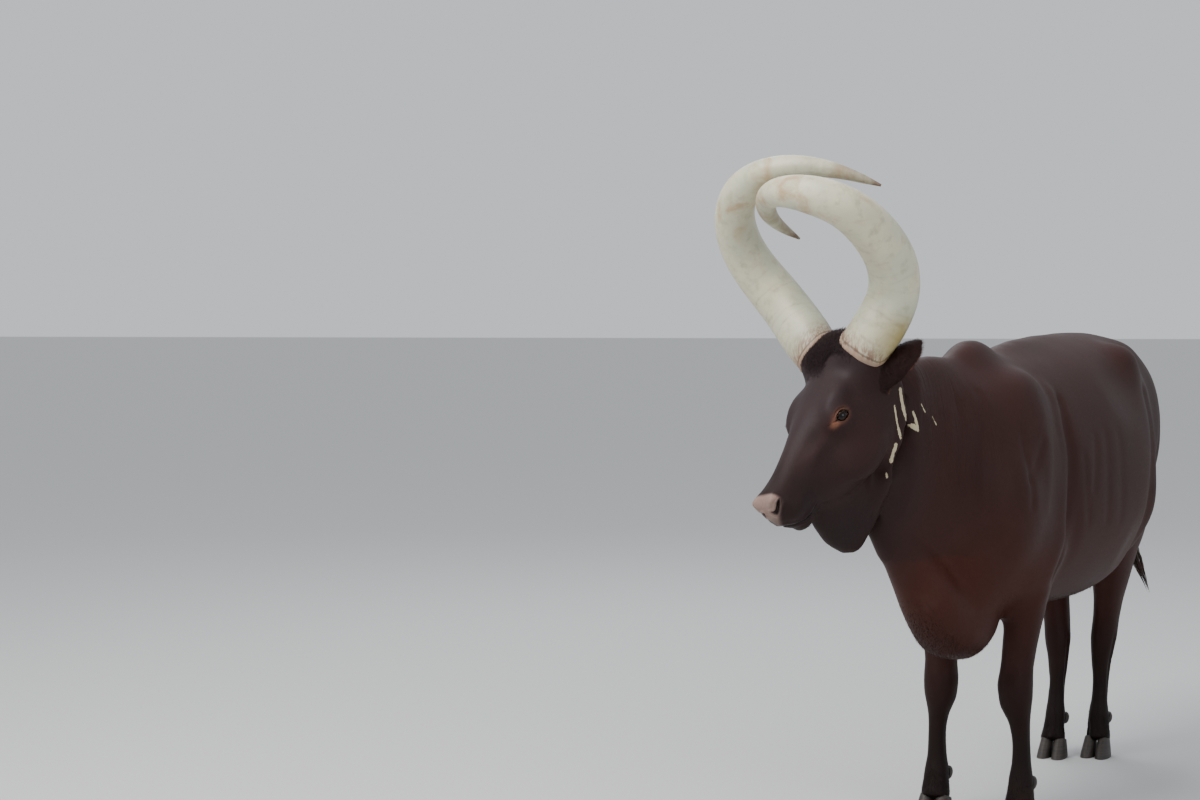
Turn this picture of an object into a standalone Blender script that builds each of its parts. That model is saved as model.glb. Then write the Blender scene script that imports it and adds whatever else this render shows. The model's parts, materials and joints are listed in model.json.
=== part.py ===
"""An adult ankole watusi cow, standing, at life size.

Metres, +Z up. The animal faces -Y and +X is its left. The floor is Z = 0.
The flesh is modelled whole, from lofted forms that a remesh fuses, and is then parted by thin cuts
into head, neck, torso and legs. Horns, ears, eyes, hooves, dewclaws and the tail are separate pieces.
"""
import math

import bmesh
import bpy
from mathutils import Matrix, Vector
from mathutils.bvhtree import BVHTree

# Overall sizes of the animal
HEAD_LENGTH = 0.518
GAP = 0.0003                       # between pieces that meet face to face

RING_SIDES = 28

# Where the head is carried: the poll is the top of the head between the horns
POLL = Vector((-0.138, -0.637, 1.295))
HEAD_TURN = math.radians(17.4)       # to its right
HEAD_PITCH = math.radians(45.9)      # the line of the face below level
HEAD_ROLL = math.radians(15)        # the left side up

# Trunk, from the breast to the seat: distance behind the fore feet, top, underside, half width,
# and how far up the widest level lies, as a share of the depth
TRUNK = (
    (-0.300, 1.120, 0.640, 0.120, 0.50),
    (-0.220, 1.215, 0.570, 0.170, 0.48),
    (-0.100, 1.255, 0.545, 0.205, 0.45),
    (0.060, 1.262, 0.555, 0.225, 0.42),
    (0.250, 1.270, 0.548, 0.255, 0.42),
    (0.450, 1.290, 0.536, 0.285, 0.44),
    (0.650, 1.308, 0.530, 0.300, 0.46),
    (0.800, 1.317, 0.555, 0.288, 0.50),
    (0.950, 1.319, 0.630, 0.240, 0.55),
    (1.080, 1.312, 0.730, 0.200, 0.55),
    (1.190, 1.280, 0.830, 0.155, 0.55),
    (1.260, 1.215, 0.940, 0.090, 0.55),
)

# Feet: x and y of each hoof's middle
FEET = {
    "front_left": (0.120, -0.030),
    "front_right": (-0.120, -0.010),
    "hind_left": (0.066, 0.985),
    "hind_right": (-0.051, 0.915),
}

# Head, from behind the poll to the nose, in head lengths: place along the face,
# front line, back line, half width, and squareness of the section
SKULL = (
    (-0.060, -0.120, -0.340, 0.110, 2.2),
    (0.000, -0.015, -0.400, 0.150, 2.4),
    (0.080, 0.010, -0.440, 0.178, 2.4),
    (0.200, 0.020, -0.455, 0.186, 2.4),
    (0.320, 0.018, -0.465, 0.184, 2.5),
    (0.420, 0.006, -0.470, 0.170, 2.4),
    (0.540, -0.012, -0.450, 0.134, 2.1),
    (0.660, -0.032, -0.395, 0.112, 2.0),
    (0.780, -0.050, -0.315, 0.100, 2.1),
    (0.865, -0.056, -0.270, 0.102, 2.4),
    (0.925, -0.066, -0.240, 0.096, 2.5),
    (0.958, -0.100, -0.205, 0.070, 2.5),
)

# Neck: its middle line from inside the chest, and along it the share of its length, half width,
# and height above and below the line
NECK_LINE = ((0.0, -0.050, 0.960), (-0.005, -0.220, 1.000), (-0.060, -0.400, 1.040))
NECK_SIZES = (
    (0.00, 0.185, 0.290, 0.300),
    (0.25, 0.160, 0.235, 0.310),
    (0.50, 0.115, 0.190, 0.270),
    (0.75, 0.092, 0.150, 0.180),
    (1.00, 0.070, 0.085, 0.100),
)

# Dewlap: its middle line from the throat to the brisket, and along it the share of its length,
# half width and half depth
DEWLAP_LINE = (
    (-0.120, -0.600, 0.900), (-0.060, -0.470, 0.790), (-0.020, -0.340, 0.640),
    (0.0, -0.215, 0.540), (0.0, -0.080, 0.560),
)
DEWLAP_SIZES = (
    (0.0, 0.020, 0.040), (0.2, 0.030, 0.058), (0.4, 0.050, 0.070), (0.6, 0.078, 0.090),
    (0.8, 0.095, 0.080), (1.0, 0.090, 0.060),
)

# Throat fold, from the chin back to the neck: top line inside the jaw, and lower edge
THROAT_FOLD = (
    ((-0.156, -0.815, 0.925), (-0.162, -0.800, 0.885)),
    ((-0.145, -0.775, 0.940), (-0.157, -0.765, 0.843)),
    ((-0.125, -0.725, 0.960), (-0.150, -0.712, 0.802)),
    ((-0.105, -0.665, 0.980), (-0.138, -0.650, 0.775)),
    ((-0.085, -0.600, 0.980), (-0.120, -0.590, 0.770)),
    ((-0.066, -0.540, 0.960), (-0.100, -0.535, 0.790)),
    ((-0.050, -0.480, 0.930), (-0.072, -0.475, 0.830)),
)
THROAT_FOLD_HALF = (0.014, 0.024, 0.030, 0.032, 0.032, 0.030, 0.022)

# Swells and hollows of the body, each given for the left side: centre, reach, and height out of the skin
SWELLS = (
    ((0.170, 0.790, 1.240), (0.090, 0.100, 0.070), 0.020),     # hook bone
    ((0.070, 1.220, 1.190), (0.060, 0.060, 0.060), 0.010),     # pin bone
    ((0.240, 0.620, 1.150), (0.140, 0.190, 0.140), -0.014),    # hollow of the flank
    ((0.150, 0.990, 1.210), (0.100, 0.150, 0.080), -0.014),    # between hook and pin bones
    ((0.220, -0.090, 1.000), (0.090, 0.080, 0.240), 0.012),    # ridge of the shoulder blade
    ((0.230, 0.110, 0.900), (0.100, 0.090, 0.330), -0.014),    # behind the shoulder
    ((0.230, 0.050, 0.740), (0.100, 0.080, 0.090), 0.016),     # elbow
    ((0.150, -0.330, 1.050), (0.120, 0.080, 0.260), -0.014),   # neck in front of the shoulder
    ((0.260, 0.820, 0.800), (0.110, 0.100, 0.130), 0.014),     # stifle
    ((0.280, 0.640, 0.680), (0.120, 0.130, 0.120), -0.012),    # flank below
)

# Middle lines of the horns from the poll: forward, up, and outward from the middle of the head
LEFT_HORN = (
    (0.045, -0.085, 0.034), (-0.059, 0.058, 0.139), (-0.025, 0.170, 0.176), (0.078, 0.234, 0.226),
    (0.180, 0.279, 0.250), (0.228, 0.326, 0.164), (0.214, 0.351, 0.039), (0.147, 0.317, -0.057),
    (0.030, 0.270, -0.082),
)
RIGHT_HORN = (
    (0.020, -0.070, 0.044), (0.007, 0.071, 0.155), (0.028, 0.161, 0.207), (0.080, 0.246, 0.231),
    (0.142, 0.328, 0.193), (0.174, 0.400, 0.113), (0.148, 0.426, 0.004), (0.076, 0.406, -0.100),
    (-0.024, 0.342, -0.176),
)
# Radius along a horn: share of its length, radius
HORN_TAPER = (
    (0.00, 0.040), (0.06, 0.059), (0.13, 0.0635), (0.30, 0.060), (0.45, 0.054), (0.60, 0.045), (0.75, 0.031),
    (0.88, 0.019), (0.96, 0.010), (1.00, 0.003),
)
HORN_RINGS = 30
HORN_SIDES = 14

# Ear: tip on the head, the way its cup opens, rings, and its sections along it:
# share of length, half width, half angle of the curl, thickness of the wall
EAR_TIP = (-0.130, -0.200, 0.305)
EAR_OPENING = (-0.48, -0.81, -0.02)
EAR_RINGS = 13
EAR_BEND = -0.010
EAR_SECTIONS = (
    (0.00, 0.024, 2.3, 0.0160), (0.15, 0.030, 2.0, 0.0120), (0.35, 0.044, 1.5, 0.0080),
    (0.55, 0.048, 1.3, 0.0065), (0.75, 0.040, 1.15, 0.0055), (0.90, 0.024, 1.0, 0.0050),
    (1.00, 0.007, 0.9, 0.0040),
)

# Tail and the tuft at its end: middle lines, and radii along the tail
TAIL_PATH = (
    (0.000, 1.170, 1.262), (0.000, 1.255, 1.248), (0.000, 1.303, 1.160), (0.003, 1.303, 1.010),
    (0.014, 1.294, 0.880), (0.034, 1.284, 0.785), (0.050, 1.280, 0.740),
)
TAIL_RADII = (0.040, 0.036, 0.026, 0.021, 0.018, 0.016, 0.015)
SWITCH_PATH = (
    (0.050, 1.2805, 0.7350), (0.076, 1.282, 0.680), (0.110, 1.284, 0.600), (0.140, 1.280, 0.530),
    (0.164, 1.274, 0.470),
)

# Eyes, in head lengths from the poll; half width and half height of the opening between the lids
EYE_PLACE = (0.415, -0.108, 0.151)
EYE_RADIUS = 0.0190
LID_THICKNESS = 0.0042
LID_WIDTH = 0.0165
LID_HEIGHT = 0.0095

# Line of the mouth, from its left corner to the front
MOUTH = (
    (0.778, -0.280, 0.100), (0.830, -0.286, 0.095), (0.880, -0.276, 0.080), (0.925, -0.250, 0.058),
    (0.960, -0.216, 0.030), (0.970, -0.204, 0.0),
)

# Middle line of the left nostril, from below to above and back
NOSTRIL = ((0.955, -0.150, 0.066), (0.948, -0.128, 0.078), (0.932, -0.105, 0.086), (0.910, -0.088, 0.088))

# Leg cuts: low and high corner of a box round each leg
LEG_BOXES = {
    "leg_front_left": ((0.055, -0.100, -0.1), (0.300, 0.200, 0.610)),
    "leg_front_right": ((-0.300, -0.100, -0.1), (-0.055, 0.200, 0.610)),
    "leg_hind_left": ((0.0, 0.790, -0.1), (0.400, 1.300, 0.700)),
    "leg_hind_right": ((-0.400, 0.790, -0.1), (0.0, 1.300, 0.700)),
}

# Height of the hoof's upper edge in front and at the heel
CORONET = (0.078, 0.046)

# Hooves: length and width of one claw, and the room between the two claws of a foot
CLAW_FRONT = (0.112, 0.047)
CLAW_HIND = (0.102, 0.043)
CLAW_ROOM = 0.0030

# Looks of the pieces: colour, roughness
LOOKS = {
    "hide": ((0.062, 0.036, 0.030), 0.55),
    "horn": ((0.620, 0.560, 0.400), 0.38),
    "eye": ((0.012, 0.009, 0.008), 0.08),
    "hoof": ((0.060, 0.052, 0.046), 0.50),
    "switch": ((0.050, 0.026, 0.018), 0.70),
}

# Triangles of the flesh behind the head, and of the head's own copy of it
COARSE_TRIANGLES = 5800
FINE_TRIANGLES = 15500


def remove_everything():
    for item in list(bpy.data.objects):
        bpy.data.objects.remove(item)


def collection(name):
    made = bpy.data.collections.new(name)
    bpy.context.scene.collection.children.link(made)
    return made


def add_object(name, mesh, where):
    made = bpy.data.objects.new(name, mesh)
    where.objects.link(made)
    return made


def evaluated_mesh(item):
    bpy.context.view_layer.update()
    graph = bpy.context.evaluated_depsgraph_get()
    return bpy.data.meshes.new_from_object(item.evaluated_get(graph))


def apply_modifiers(item):
    mesh = evaluated_mesh(item)
    item.modifiers.clear()
    item.data = mesh
    return item


def spline_through(points, count):
    """Points along a Catmull-Rom curve through the given ones, evenly spread by span."""
    first = points[0] * 2 - points[1]
    last = points[-1] * 2 - points[-2]
    knots = [first, *points, last]
    spans = len(points) - 1
    made = []
    for i in range(count):
        place = i / (count - 1) * spans
        k = min(spans - 1, int(place))
        t = place - k
        a, b, c, d = knots[k:k + 4]
        made.append(0.5 * ((2 * b) + (c - a) * t + (2 * a - 5 * b + 4 * c - d) * t * t
                           + (3 * b - a - 3 * c + d) * t ** 3))
    return made


def lofted(name, rings, where):
    """A closed mesh through rings of points, with a fan of faces over each end."""
    mesh = bmesh.new()
    made = [[mesh.verts.new(p) for p in ring] for ring in rings]
    count = len(rings[0])
    for ring, following in zip(made, made[1:]):
        for i in range(count):
            j = (i + 1) % count
            mesh.faces.new((ring[i], ring[j], following[j], following[i]))
    mesh.faces.new(list(reversed(made[0])))
    mesh.faces.new(made[-1])
    bmesh.ops.recalc_face_normals(mesh, faces=mesh.faces)
    data = bpy.data.meshes.new(name)
    mesh.to_mesh(data)
    mesh.free()
    return add_object(name, data, where)


def superellipse(angle, power):
    c, s = math.cos(angle), math.sin(angle)
    return (math.copysign(abs(c) ** (2 / power), c), math.copysign(abs(s) ** (2 / power), s))


def section(centre, side, up, half_width, above, below, power=2.2, sides=RING_SIDES):
    """A ring round centre: half_width along side, and its own height above and below."""
    ring = []
    for i in range(sides):
        c, s = superellipse(2 * math.pi * i / sides, power)
        ring.append(centre + side * (half_width * c) + up * ((above if s > 0 else below) * s))
    return ring


def along_line(places, i):
    """The way a line of points runs at its point i."""
    before = places[max(0, i - 1)]
    after = places[min(len(places) - 1, i + 1)]
    return (after - before).normalized()


def limb(name, stations, where, power=2.1):
    """A leg or tail through stations: x, y, z, half thickness across and half depth fore and aft."""
    points = [Vector(s[:3]) for s in stations]
    rings = []
    for i, station in enumerate(stations):
        along = along_line(points, i)
        side = Vector((1, 0, 0))
        side = (side - along * side.dot(along)).normalized()
        fore = along.cross(side).normalized()
        rings.append(section(points[i], side, fore, station[3], station[4], station[4], power))
    return lofted(name, rings, where)


def ball(name, centre, radii, where, turn=None, sides=24):
    """An ellipsoid."""
    mesh = bmesh.new()
    bmesh.ops.create_uvsphere(mesh, u_segments=sides, v_segments=sides * 2 // 3, radius=1.0)
    scale = Matrix.Diagonal((*radii, 1.0))
    rotate = turn.to_4x4() if turn else Matrix.Identity(4)
    mesh.transform(Matrix.Translation(centre) @ rotate @ scale)
    bmesh.ops.recalc_face_normals(mesh, faces=mesh.faces)
    data = bpy.data.meshes.new(name)
    mesh.to_mesh(data)
    mesh.free()
    return add_object(name, data, where)


def tilt(x_deg=0.0, y_deg=0.0, z_deg=0.0):
    return (Matrix.Rotation(math.radians(z_deg), 3, "Z")
            @ Matrix.Rotation(math.radians(y_deg), 3, "Y")
            @ Matrix.Rotation(math.radians(x_deg), 3, "X"))


def interpolate(rows, place):
    """Values between rows, which are sorted by their first value, on a smooth curve."""
    places = [r[0] for r in rows]
    if place <= places[0]:
        return rows[0][1:]
    if place >= places[-1]:
        return rows[-1][1:]
    k = max(i for i in range(len(rows) - 1) if places[i] <= place)
    t = (place - places[k]) / (places[k + 1] - places[k])
    made = []
    for column in range(1, len(rows[0])):
        a = rows[max(0, k - 1)][column]
        b, c = rows[k][column], rows[k + 1][column]
        d = rows[min(len(rows) - 1, k + 2)][column]
        made.append(0.5 * ((2 * b) + (c - a) * t + (2 * a - 5 * b + 4 * c - d) * t * t
                           + (3 * b - a - 3 * c + d) * t ** 3))
    return made


def head_axes():
    """The head's own axes: along the face to the muzzle, out of the face, and to its left."""
    forward = Vector((-math.sin(HEAD_TURN), -math.cos(HEAD_TURN), 0))
    left = Vector((math.cos(HEAD_TURN), -math.sin(HEAD_TURN), 0))
    up = Vector((0, 0, 1))
    face = forward * math.cos(HEAD_PITCH) - up * math.sin(HEAD_PITCH)
    out = forward * math.sin(HEAD_PITCH) + up * math.cos(HEAD_PITCH)
    side = left * math.cos(HEAD_ROLL) + out * math.sin(HEAD_ROLL)
    return face, out * math.cos(HEAD_ROLL) - left * math.sin(HEAD_ROLL), side


FACE, OUT, SIDE = head_axes()
HEAD_MATRIX = Matrix((
    (FACE.x, OUT.x, SIDE.x, POLL.x),
    (FACE.y, OUT.y, SIDE.y, POLL.y),
    (FACE.z, OUT.z, SIDE.z, POLL.z),
    (0, 0, 0, 1),
))


def on_head(along, out, side):
    """A point given in head lengths along the face, out of it and to the left."""
    return HEAD_MATRIX @ (Vector((along, out, side)) * HEAD_LENGTH)


def skull(where):
    rings = []
    steps = 30
    for i in range(steps):
        place = SKULL[0][0] + (SKULL[-1][0] - SKULL[0][0]) * i / (steps - 1)
        front, back, half, power = interpolate(SKULL, place)
        middle = (front * 0.55 + back * 0.45)
        centre = on_head(place, middle, 0)
        size = HEAD_LENGTH
        rings.append(section(centre, SIDE, OUT, half * size, (front - middle) * size,
                             (middle - back) * size, power))
    return lofted("skull", rings, where)


def head_forms(where):
    """The forms that make the head, before fusing."""
    made = [skull(where)]
    turn = HEAD_MATRIX.to_3x3()

    def lump(name, place, radii):
        made.append(ball(name, on_head(*place), [r * HEAD_LENGTH for r in radii], where, turn))

    lump("poll_crest", (0.045, -0.030, 0.0), (0.102, 0.118, 0.190))
    lump("far_collar", (0.090, -0.035, -0.118), (0.122, 0.120, 0.122))
    lump("near_collar", (0.095, -0.035, 0.118), (0.108, 0.108, 0.112))
    lump("forehead", (0.225, -0.070, 0.0), (0.190, 0.085, 0.168))
    lump("muzzle", (0.880, -0.145, 0.0), (0.087, 0.095, 0.110))
    lump("upper_lip", (0.890, -0.205, 0.0), (0.086, 0.066, 0.090))
    lump("chin", (0.845, -0.298, 0.0), (0.078, 0.046, 0.066))
    for sign in (1, -1):
        lump("brow", (0.350, -0.048, 0.128 * sign), (0.120, 0.050, 0.054))
        lump("orbit", (0.410, -0.105, 0.136 * sign), (0.100, 0.085, 0.058))
        lump("cheek", (0.420, -0.300, 0.120 * sign), (0.200, 0.140, 0.052))
        lump("temple", (0.130, -0.105, 0.148 * sign), (0.140, 0.115, 0.062))
        lump("horn_seat", (-0.005, -0.055, 0.125 * sign), (0.100, 0.105, 0.085))
        lump("cheek_ridge", (0.520, -0.125, 0.104 * sign), (0.180, 0.030, 0.030))
        lump("lip", (0.860, -0.190, 0.070 * sign), (0.090, 0.055, 0.046))
        lump("nostril_wing", (0.925, -0.088, 0.062 * sign), (0.045, 0.040, 0.045))
    return made


def neck(where):
    """The neck, from inside the chest to inside the head."""
    knots = [*(Vector(p) for p in NECK_LINE), on_head(0.120, -0.330, 0), on_head(0.330, -0.220, 0)]
    places = spline_through(knots, 17)
    rings = []
    for i, place in enumerate(places):
        along = along_line(places, i)
        side = along.cross(Vector((0, 0, 1))).normalized()
        up = side.cross(along).normalized()
        half, above, below = interpolate(NECK_SIZES, i / (len(places) - 1))
        rings.append(section(place, side, up, half, above, below, 2.0))
    return lofted("neck_core", rings, where)


def dewlap(where):
    """The fold of loose skin from the throat down to the brisket."""
    line = spline_through([on_head(0.420, -0.420, 0), *(Vector(p) for p in DEWLAP_LINE)], 13)
    rings = []
    for i, place in enumerate(line):
        along = along_line(line, i)
        side = Vector((1, 0, 0))
        side = (side - along * side.dot(along)).normalized()
        outward = along.cross(side).normalized()
        half, reach = interpolate(DEWLAP_SIZES, i / (len(line) - 1))
        rings.append(section(place, side, outward, half, reach, reach, 2.0))
    return lofted("dewlap", rings, where)


def throat_fold(where):
    """The loose skin that hangs from the jaw to the throat."""
    rings = []
    for (top, low), half in zip(THROAT_FOLD, THROAT_FOLD_HALF):
        top, low = Vector(top), Vector(low)
        up = (top - low).normalized()
        side = Vector((0.975, -0.220, 0)).normalized()
        reach = (top - low).length / 2
        rings.append(section((top + low) / 2, side, up, half, reach, reach, 2.2))
    return lofted("throat_fold", rings, where)


def trunk(where):
    rings = []
    steps = 40
    for i in range(steps):
        place = TRUNK[0][0] + (TRUNK[-1][0] - TRUNK[0][0]) * i / (steps - 1)
        top, under, half, level = interpolate(TRUNK, place)
        middle = under + (top - under) * level
        rings.append(section(Vector((0, place, middle)), Vector((1, 0, 0)), Vector((0, 0, 1)),
                             half, top - middle, middle - under, 2.15))
    return lofted("trunk", rings, where)


def trunk_forms(where):
    """The trunk with the masses of shoulder and haunch, the hump, the neck and the brisket."""
    made = [trunk(where), neck(where)]

    def lump(name, centre, radii, turn=None):
        made.append(ball(name, Vector(centre), radii, where, turn))

    lump("hump", (0.0, -0.085, 1.212), (0.070, 0.160, 0.098))
    lump("crest", (-0.025, -0.310, 1.165), (0.068, 0.200, 0.105), tilt(-6))
    lump("brisket", (0.0, -0.190, 0.600), (0.100, 0.135, 0.125))
    lump("spine", (0.0, 0.620, 1.250), (0.060, 0.580, 0.065))
    lump("tail_head", (0.0, 1.170, 1.250), (0.055, 0.120, 0.055), tilt(15))
    for sign in (1, -1):
        side = "left" if sign > 0 else "right"
        lump(f"blade_{side}", (0.100 * sign, -0.080, 0.955), (0.105, 0.200, 0.275), tilt(-12, 7 * sign))
        lump(f"shoulder_{side}", (0.112 * sign, -0.160, 0.860), (0.112, 0.150, 0.200), tilt(20))
        lump(f"arm_{side}", (0.130 * sign, -0.020, 0.750), (0.095, 0.150, 0.150), tilt(-25))
        lump(f"hook_{side}", (0.150 * sign, 0.790, 1.190), (0.095, 0.140, 0.085))
        lump(f"haunch_{side}", (0.110 * sign, 1.000, 1.020), (0.140, 0.245, 0.280), tilt(8))
        lump(f"thigh_{side}", (0.112 * sign, 1.010, 0.860), (0.110, 0.195, 0.290), tilt(8))
        lump(f"stifle_{side}", (0.150 * sign, 0.880, 0.800), (0.085, 0.120, 0.150), tilt(-20))
        lump(f"seat_{side}", (0.075 * sign, 1.170, 1.100), (0.080, 0.105, 0.160))
    return made


def kernel(distance_squared):
    return (1 - distance_squared) ** 2 if distance_squared < 1 else 0.0


def swell(item, swells):
    """Moves the surface out or in along its normal round each place, on both sides of the body."""
    mesh = item.data
    normals = [v.normal.copy() for v in mesh.vertices]
    for vertex, normal in zip(mesh.vertices, normals):
        push = 0.0
        x = abs(vertex.co.x)
        for centre, reach, height in swells:
            q = (((x - centre[0]) / reach[0]) ** 2 + ((vertex.co.y - centre[1]) / reach[1]) ** 2
                 + ((vertex.co.z - centre[2]) / reach[2]) ** 2)
            push += height * kernel(q)
        vertex.co += normal * push


def foreleg(side, where):
    """The fore leg as one form, from inside the chest to inside the hoof."""
    x, y = FEET[f"front_{side}"]
    sign = 1 if side == "left" else -1
    stations = (
        (x + 0.026 * sign, y + 0.050, 0.840, 0.075, 0.120),
        (x + 0.020 * sign, y + 0.050, 0.720, 0.072, 0.102),
        (x + 0.008 * sign, y + 0.042, 0.620, 0.060, 0.080),
        (x - 0.002 * sign, y + 0.036, 0.520, 0.050, 0.060),
        (x - 0.012 * sign, y + 0.030, 0.430, 0.046, 0.049),
        (x - 0.015 * sign, y + 0.022, 0.378, 0.051, 0.054),
        (x - 0.013 * sign, y + 0.024, 0.330, 0.048, 0.051),
        (x - 0.004 * sign, y + 0.032, 0.280, 0.031, 0.036),
        (x, y + 0.034, 0.220, 0.0275, 0.033),
        (x, y + 0.036, 0.160, 0.031, 0.035),
        (x, y + 0.034, 0.125, 0.038, 0.042),
        (x, y + 0.026, 0.090, 0.038, 0.037),
        (x, y + 0.021, 0.066, 0.045, 0.044),
        (x, y + 0.020, 0.040, 0.046, 0.045),
    )
    return limb(f"foreleg_{side}", stations, where)


def hindleg(side, where):
    """The hind leg as one form, from inside the haunch to inside the hoof."""
    x, y = FEET[f"hind_{side}"]
    sign = 1 if side == "left" else -1
    top = 1.000 - y
    stations = (
        (x + 0.066 * sign, y + top * 1.0 + 0.010, 0.900, 0.092, 0.190),
        (x + 0.064 * sign, y + top * 0.9 + 0.000, 0.780, 0.086, 0.168),
        (x + 0.054 * sign, y + top * 0.7 + 0.006, 0.680, 0.073, 0.130),
        (x + 0.036 * sign, y + top * 0.5 + 0.036, 0.580, 0.061, 0.098),
        (x + 0.020 * sign, y + top * 0.3 + 0.066, 0.490, 0.047, 0.070),
        (x + 0.010 * sign, y + top * 0.1 + 0.080, 0.420, 0.041, 0.066),
        (x + 0.004 * sign, y + 0.074, 0.360, 0.043, 0.060),
        (x, y + 0.064, 0.300, 0.034, 0.045),
        (x, y + 0.056, 0.230, 0.027, 0.035),
        (x, y + 0.048, 0.170, 0.029, 0.036),
        (x, y + 0.042, 0.130, 0.036, 0.042),
        (x, y + 0.030, 0.092, 0.036, 0.036),
        (x, y + 0.022, 0.066, 0.042, 0.042),
        (x, y + 0.020, 0.040, 0.043, 0.043),
    )
    made = [limb(f"hindleg_{side}", stations, where)]
    point = Vector((x + 0.012 * sign, y + 0.136, 0.440))
    made.append(ball(f"hock_point_{side}", point, (0.022, 0.028, 0.055), where, tilt(-12)))
    return made


def fused(name, pieces, where, voxel, passes):
    """One closed surface round all the pieces, smoothed. The pieces are removed."""
    mesh = bmesh.new()
    for piece in pieces:
        mesh.from_mesh(piece.data)
    data = bpy.data.meshes.new(name)
    mesh.to_mesh(data)
    mesh.free()
    for piece in pieces:
        bpy.data.objects.remove(piece)
    made = add_object(name, data, where)
    remesh = made.modifiers.new("fuse", "REMESH")
    remesh.mode = "VOXEL"
    remesh.voxel_size = voxel
    smooth = made.modifiers.new("soften", "SMOOTH")
    smooth.factor = 0.5
    smooth.iterations = passes
    return apply_modifiers(made)


def thinned(item, name, triangles, where):
    """A copy with about that many triangles."""
    made = add_object(name, item.data.copy(), where)
    count = sum(len(p.vertices) - 2 for p in made.data.polygons)
    thin = made.modifiers.new("thin", "DECIMATE")
    thin.ratio = min(1.0, triangles / count)
    return apply_modifiers(made)


def swept(name, path, radii, where, sides=16):
    """A round bar along a path, with its own radius at each point."""
    rings = []
    side = None
    for i, place in enumerate(path):
        along = along_line(path, i)
        if side is None:
            side = along.orthogonal().normalized()
        side = (side - along * side.dot(along)).normalized()
        other = along.cross(side)
        ring = []
        for k in range(sides):
            angle = 2 * math.pi * k / sides
            ring.append(place + (side * math.cos(angle) + other * math.sin(angle)) * radii[i])
        rings.append(ring)
    return lofted(name, rings, where)


def eased(path, passes):
    """The path with its kinks evened out, its ends kept."""
    for _ in range(passes):
        path = [path[0], *((a + b * 2 + c) / 4 for a, b, c in zip(path, path[1:], path[2:])), path[-1]]
    return path


def horn(side, where):
    sign = 1 if side == "left" else -1
    forward = FACE * math.cos(HEAD_PITCH) + OUT * math.sin(HEAD_PITCH)
    up = OUT * math.cos(HEAD_PITCH) - FACE * math.sin(HEAD_PITCH)
    knots = [POLL + forward * f + up * u + SIDE * (o * sign)
             for f, u, o in (LEFT_HORN if side == "left" else RIGHT_HORN)]
    path = eased(spline_through(knots, HORN_RINGS), 6)
    run = [0.0]
    for a, b in zip(path, path[1:]):
        run.append(run[-1] + (b - a).length)
    radii = [interpolate(HORN_TAPER, r / run[-1])[0] for r in run]
    return swept(f"horn_{side}", path, radii, where, HORN_SIDES)


def ear(side, where):
    """A cupped leaf: crescent rings that widen from the root and close at the tip."""
    sign = 1 if side == "left" else -1
    root = on_head(0.165, -0.235, 0.120 * sign)
    tip = on_head(*(EAR_TIP[0], EAR_TIP[1], EAR_TIP[2] * sign))
    along = (tip - root).normalized()
    opening = (FACE * EAR_OPENING[0] + OUT * EAR_OPENING[1] + SIDE * (EAR_OPENING[2] * sign))
    opening = (opening - along * opening.dot(along)).normalized()
    across = along.cross(opening) * sign
    rings = []
    length = (tip - root).length
    for i in range(EAR_RINGS):
        t = i / (EAR_RINGS - 1)
        half, curl, wall = interpolate(EAR_SECTIONS, t)
        bend = opening * (EAR_BEND * math.sin(math.pi * t))
        centre = root + along * (length * t) + bend
        ring = []
        steps = 7
        for k in range(steps):
            a = -curl + 2 * curl * k / (steps - 1)
            radius = half / max(0.35, math.sin(min(curl, math.pi / 2)))
            outer = across * (math.sin(a) * radius) - opening * ((math.cos(a) - math.cos(curl)) * radius)
            ring.append(centre + outer)
        for k in reversed(range(steps)):
            a = -curl + 2 * curl * k / (steps - 1)
            radius = half / max(0.35, math.sin(min(curl, math.pi / 2)))
            edge = 1 - (abs(2 * k / (steps - 1) - 1)) ** 4
            inner = radius - wall * (0.25 + 0.75 * edge)
            point = across * (math.sin(a) * inner) - opening * ((math.cos(a) - math.cos(curl)) * inner)
            ring.append(centre + point + opening * wall * 0.25)
        rings.append(ring)
    return lofted(f"ear_{side}", rings, where)


def tail(where):
    path = spline_through([Vector(p) for p in TAIL_PATH], 19)
    radii = [interpolate([(i / 6, r) for i, r in enumerate(TAIL_RADII)], k / 18)[0] for k in range(19)]
    return swept("tail", path, radii, where, 12)


def switch(where):
    """The tuft at the tail's end: a short core with flat locks that fan from it."""
    path = [Vector(p) for p in SWITCH_PATH]
    middle = spline_through(path, 21)
    thickness = [0.014 + 0.008 * math.sin(math.pi * i / 9) for i in range(0, 10, 3)]
    core = swept("switch_core", middle[:10:3], thickness, where, 8)
    made = [core]
    locks = 11
    for k in range(locks):
        angle = 2 * math.pi * k / locks
        start = 1 + (k * 5) % 6
        end = 20 - (k * 7) % 6
        steps = 5
        rings = []
        for i in range(steps):
            t = i / (steps - 1)
            place = middle[int(round(start + (end - start) * t))]
            reach = 0.010 + 0.012 * math.sin(math.pi * min(1.0, t * 1.15)) + 0.004 * (k % 3)
            turn = angle + 0.5 * t
            out = Vector((math.cos(turn), math.sin(turn), 0.0))
            across = Vector((-math.sin(turn), math.cos(turn), 0.0))
            centre = place + out * reach * (1 - 0.35 * t)
            wide = 0.0135 * (1 - t) ** 0.6 + 0.0012
            thick = 0.0070 * (1 - t) ** 0.6 + 0.0010
            rings.append([centre + across * wide, centre + out * thick, centre - across * wide,
                          centre - out * thick])
        made.append(lofted(f"lock_{k}", rings, where))
    return union("tail_switch", made, where)


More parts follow.
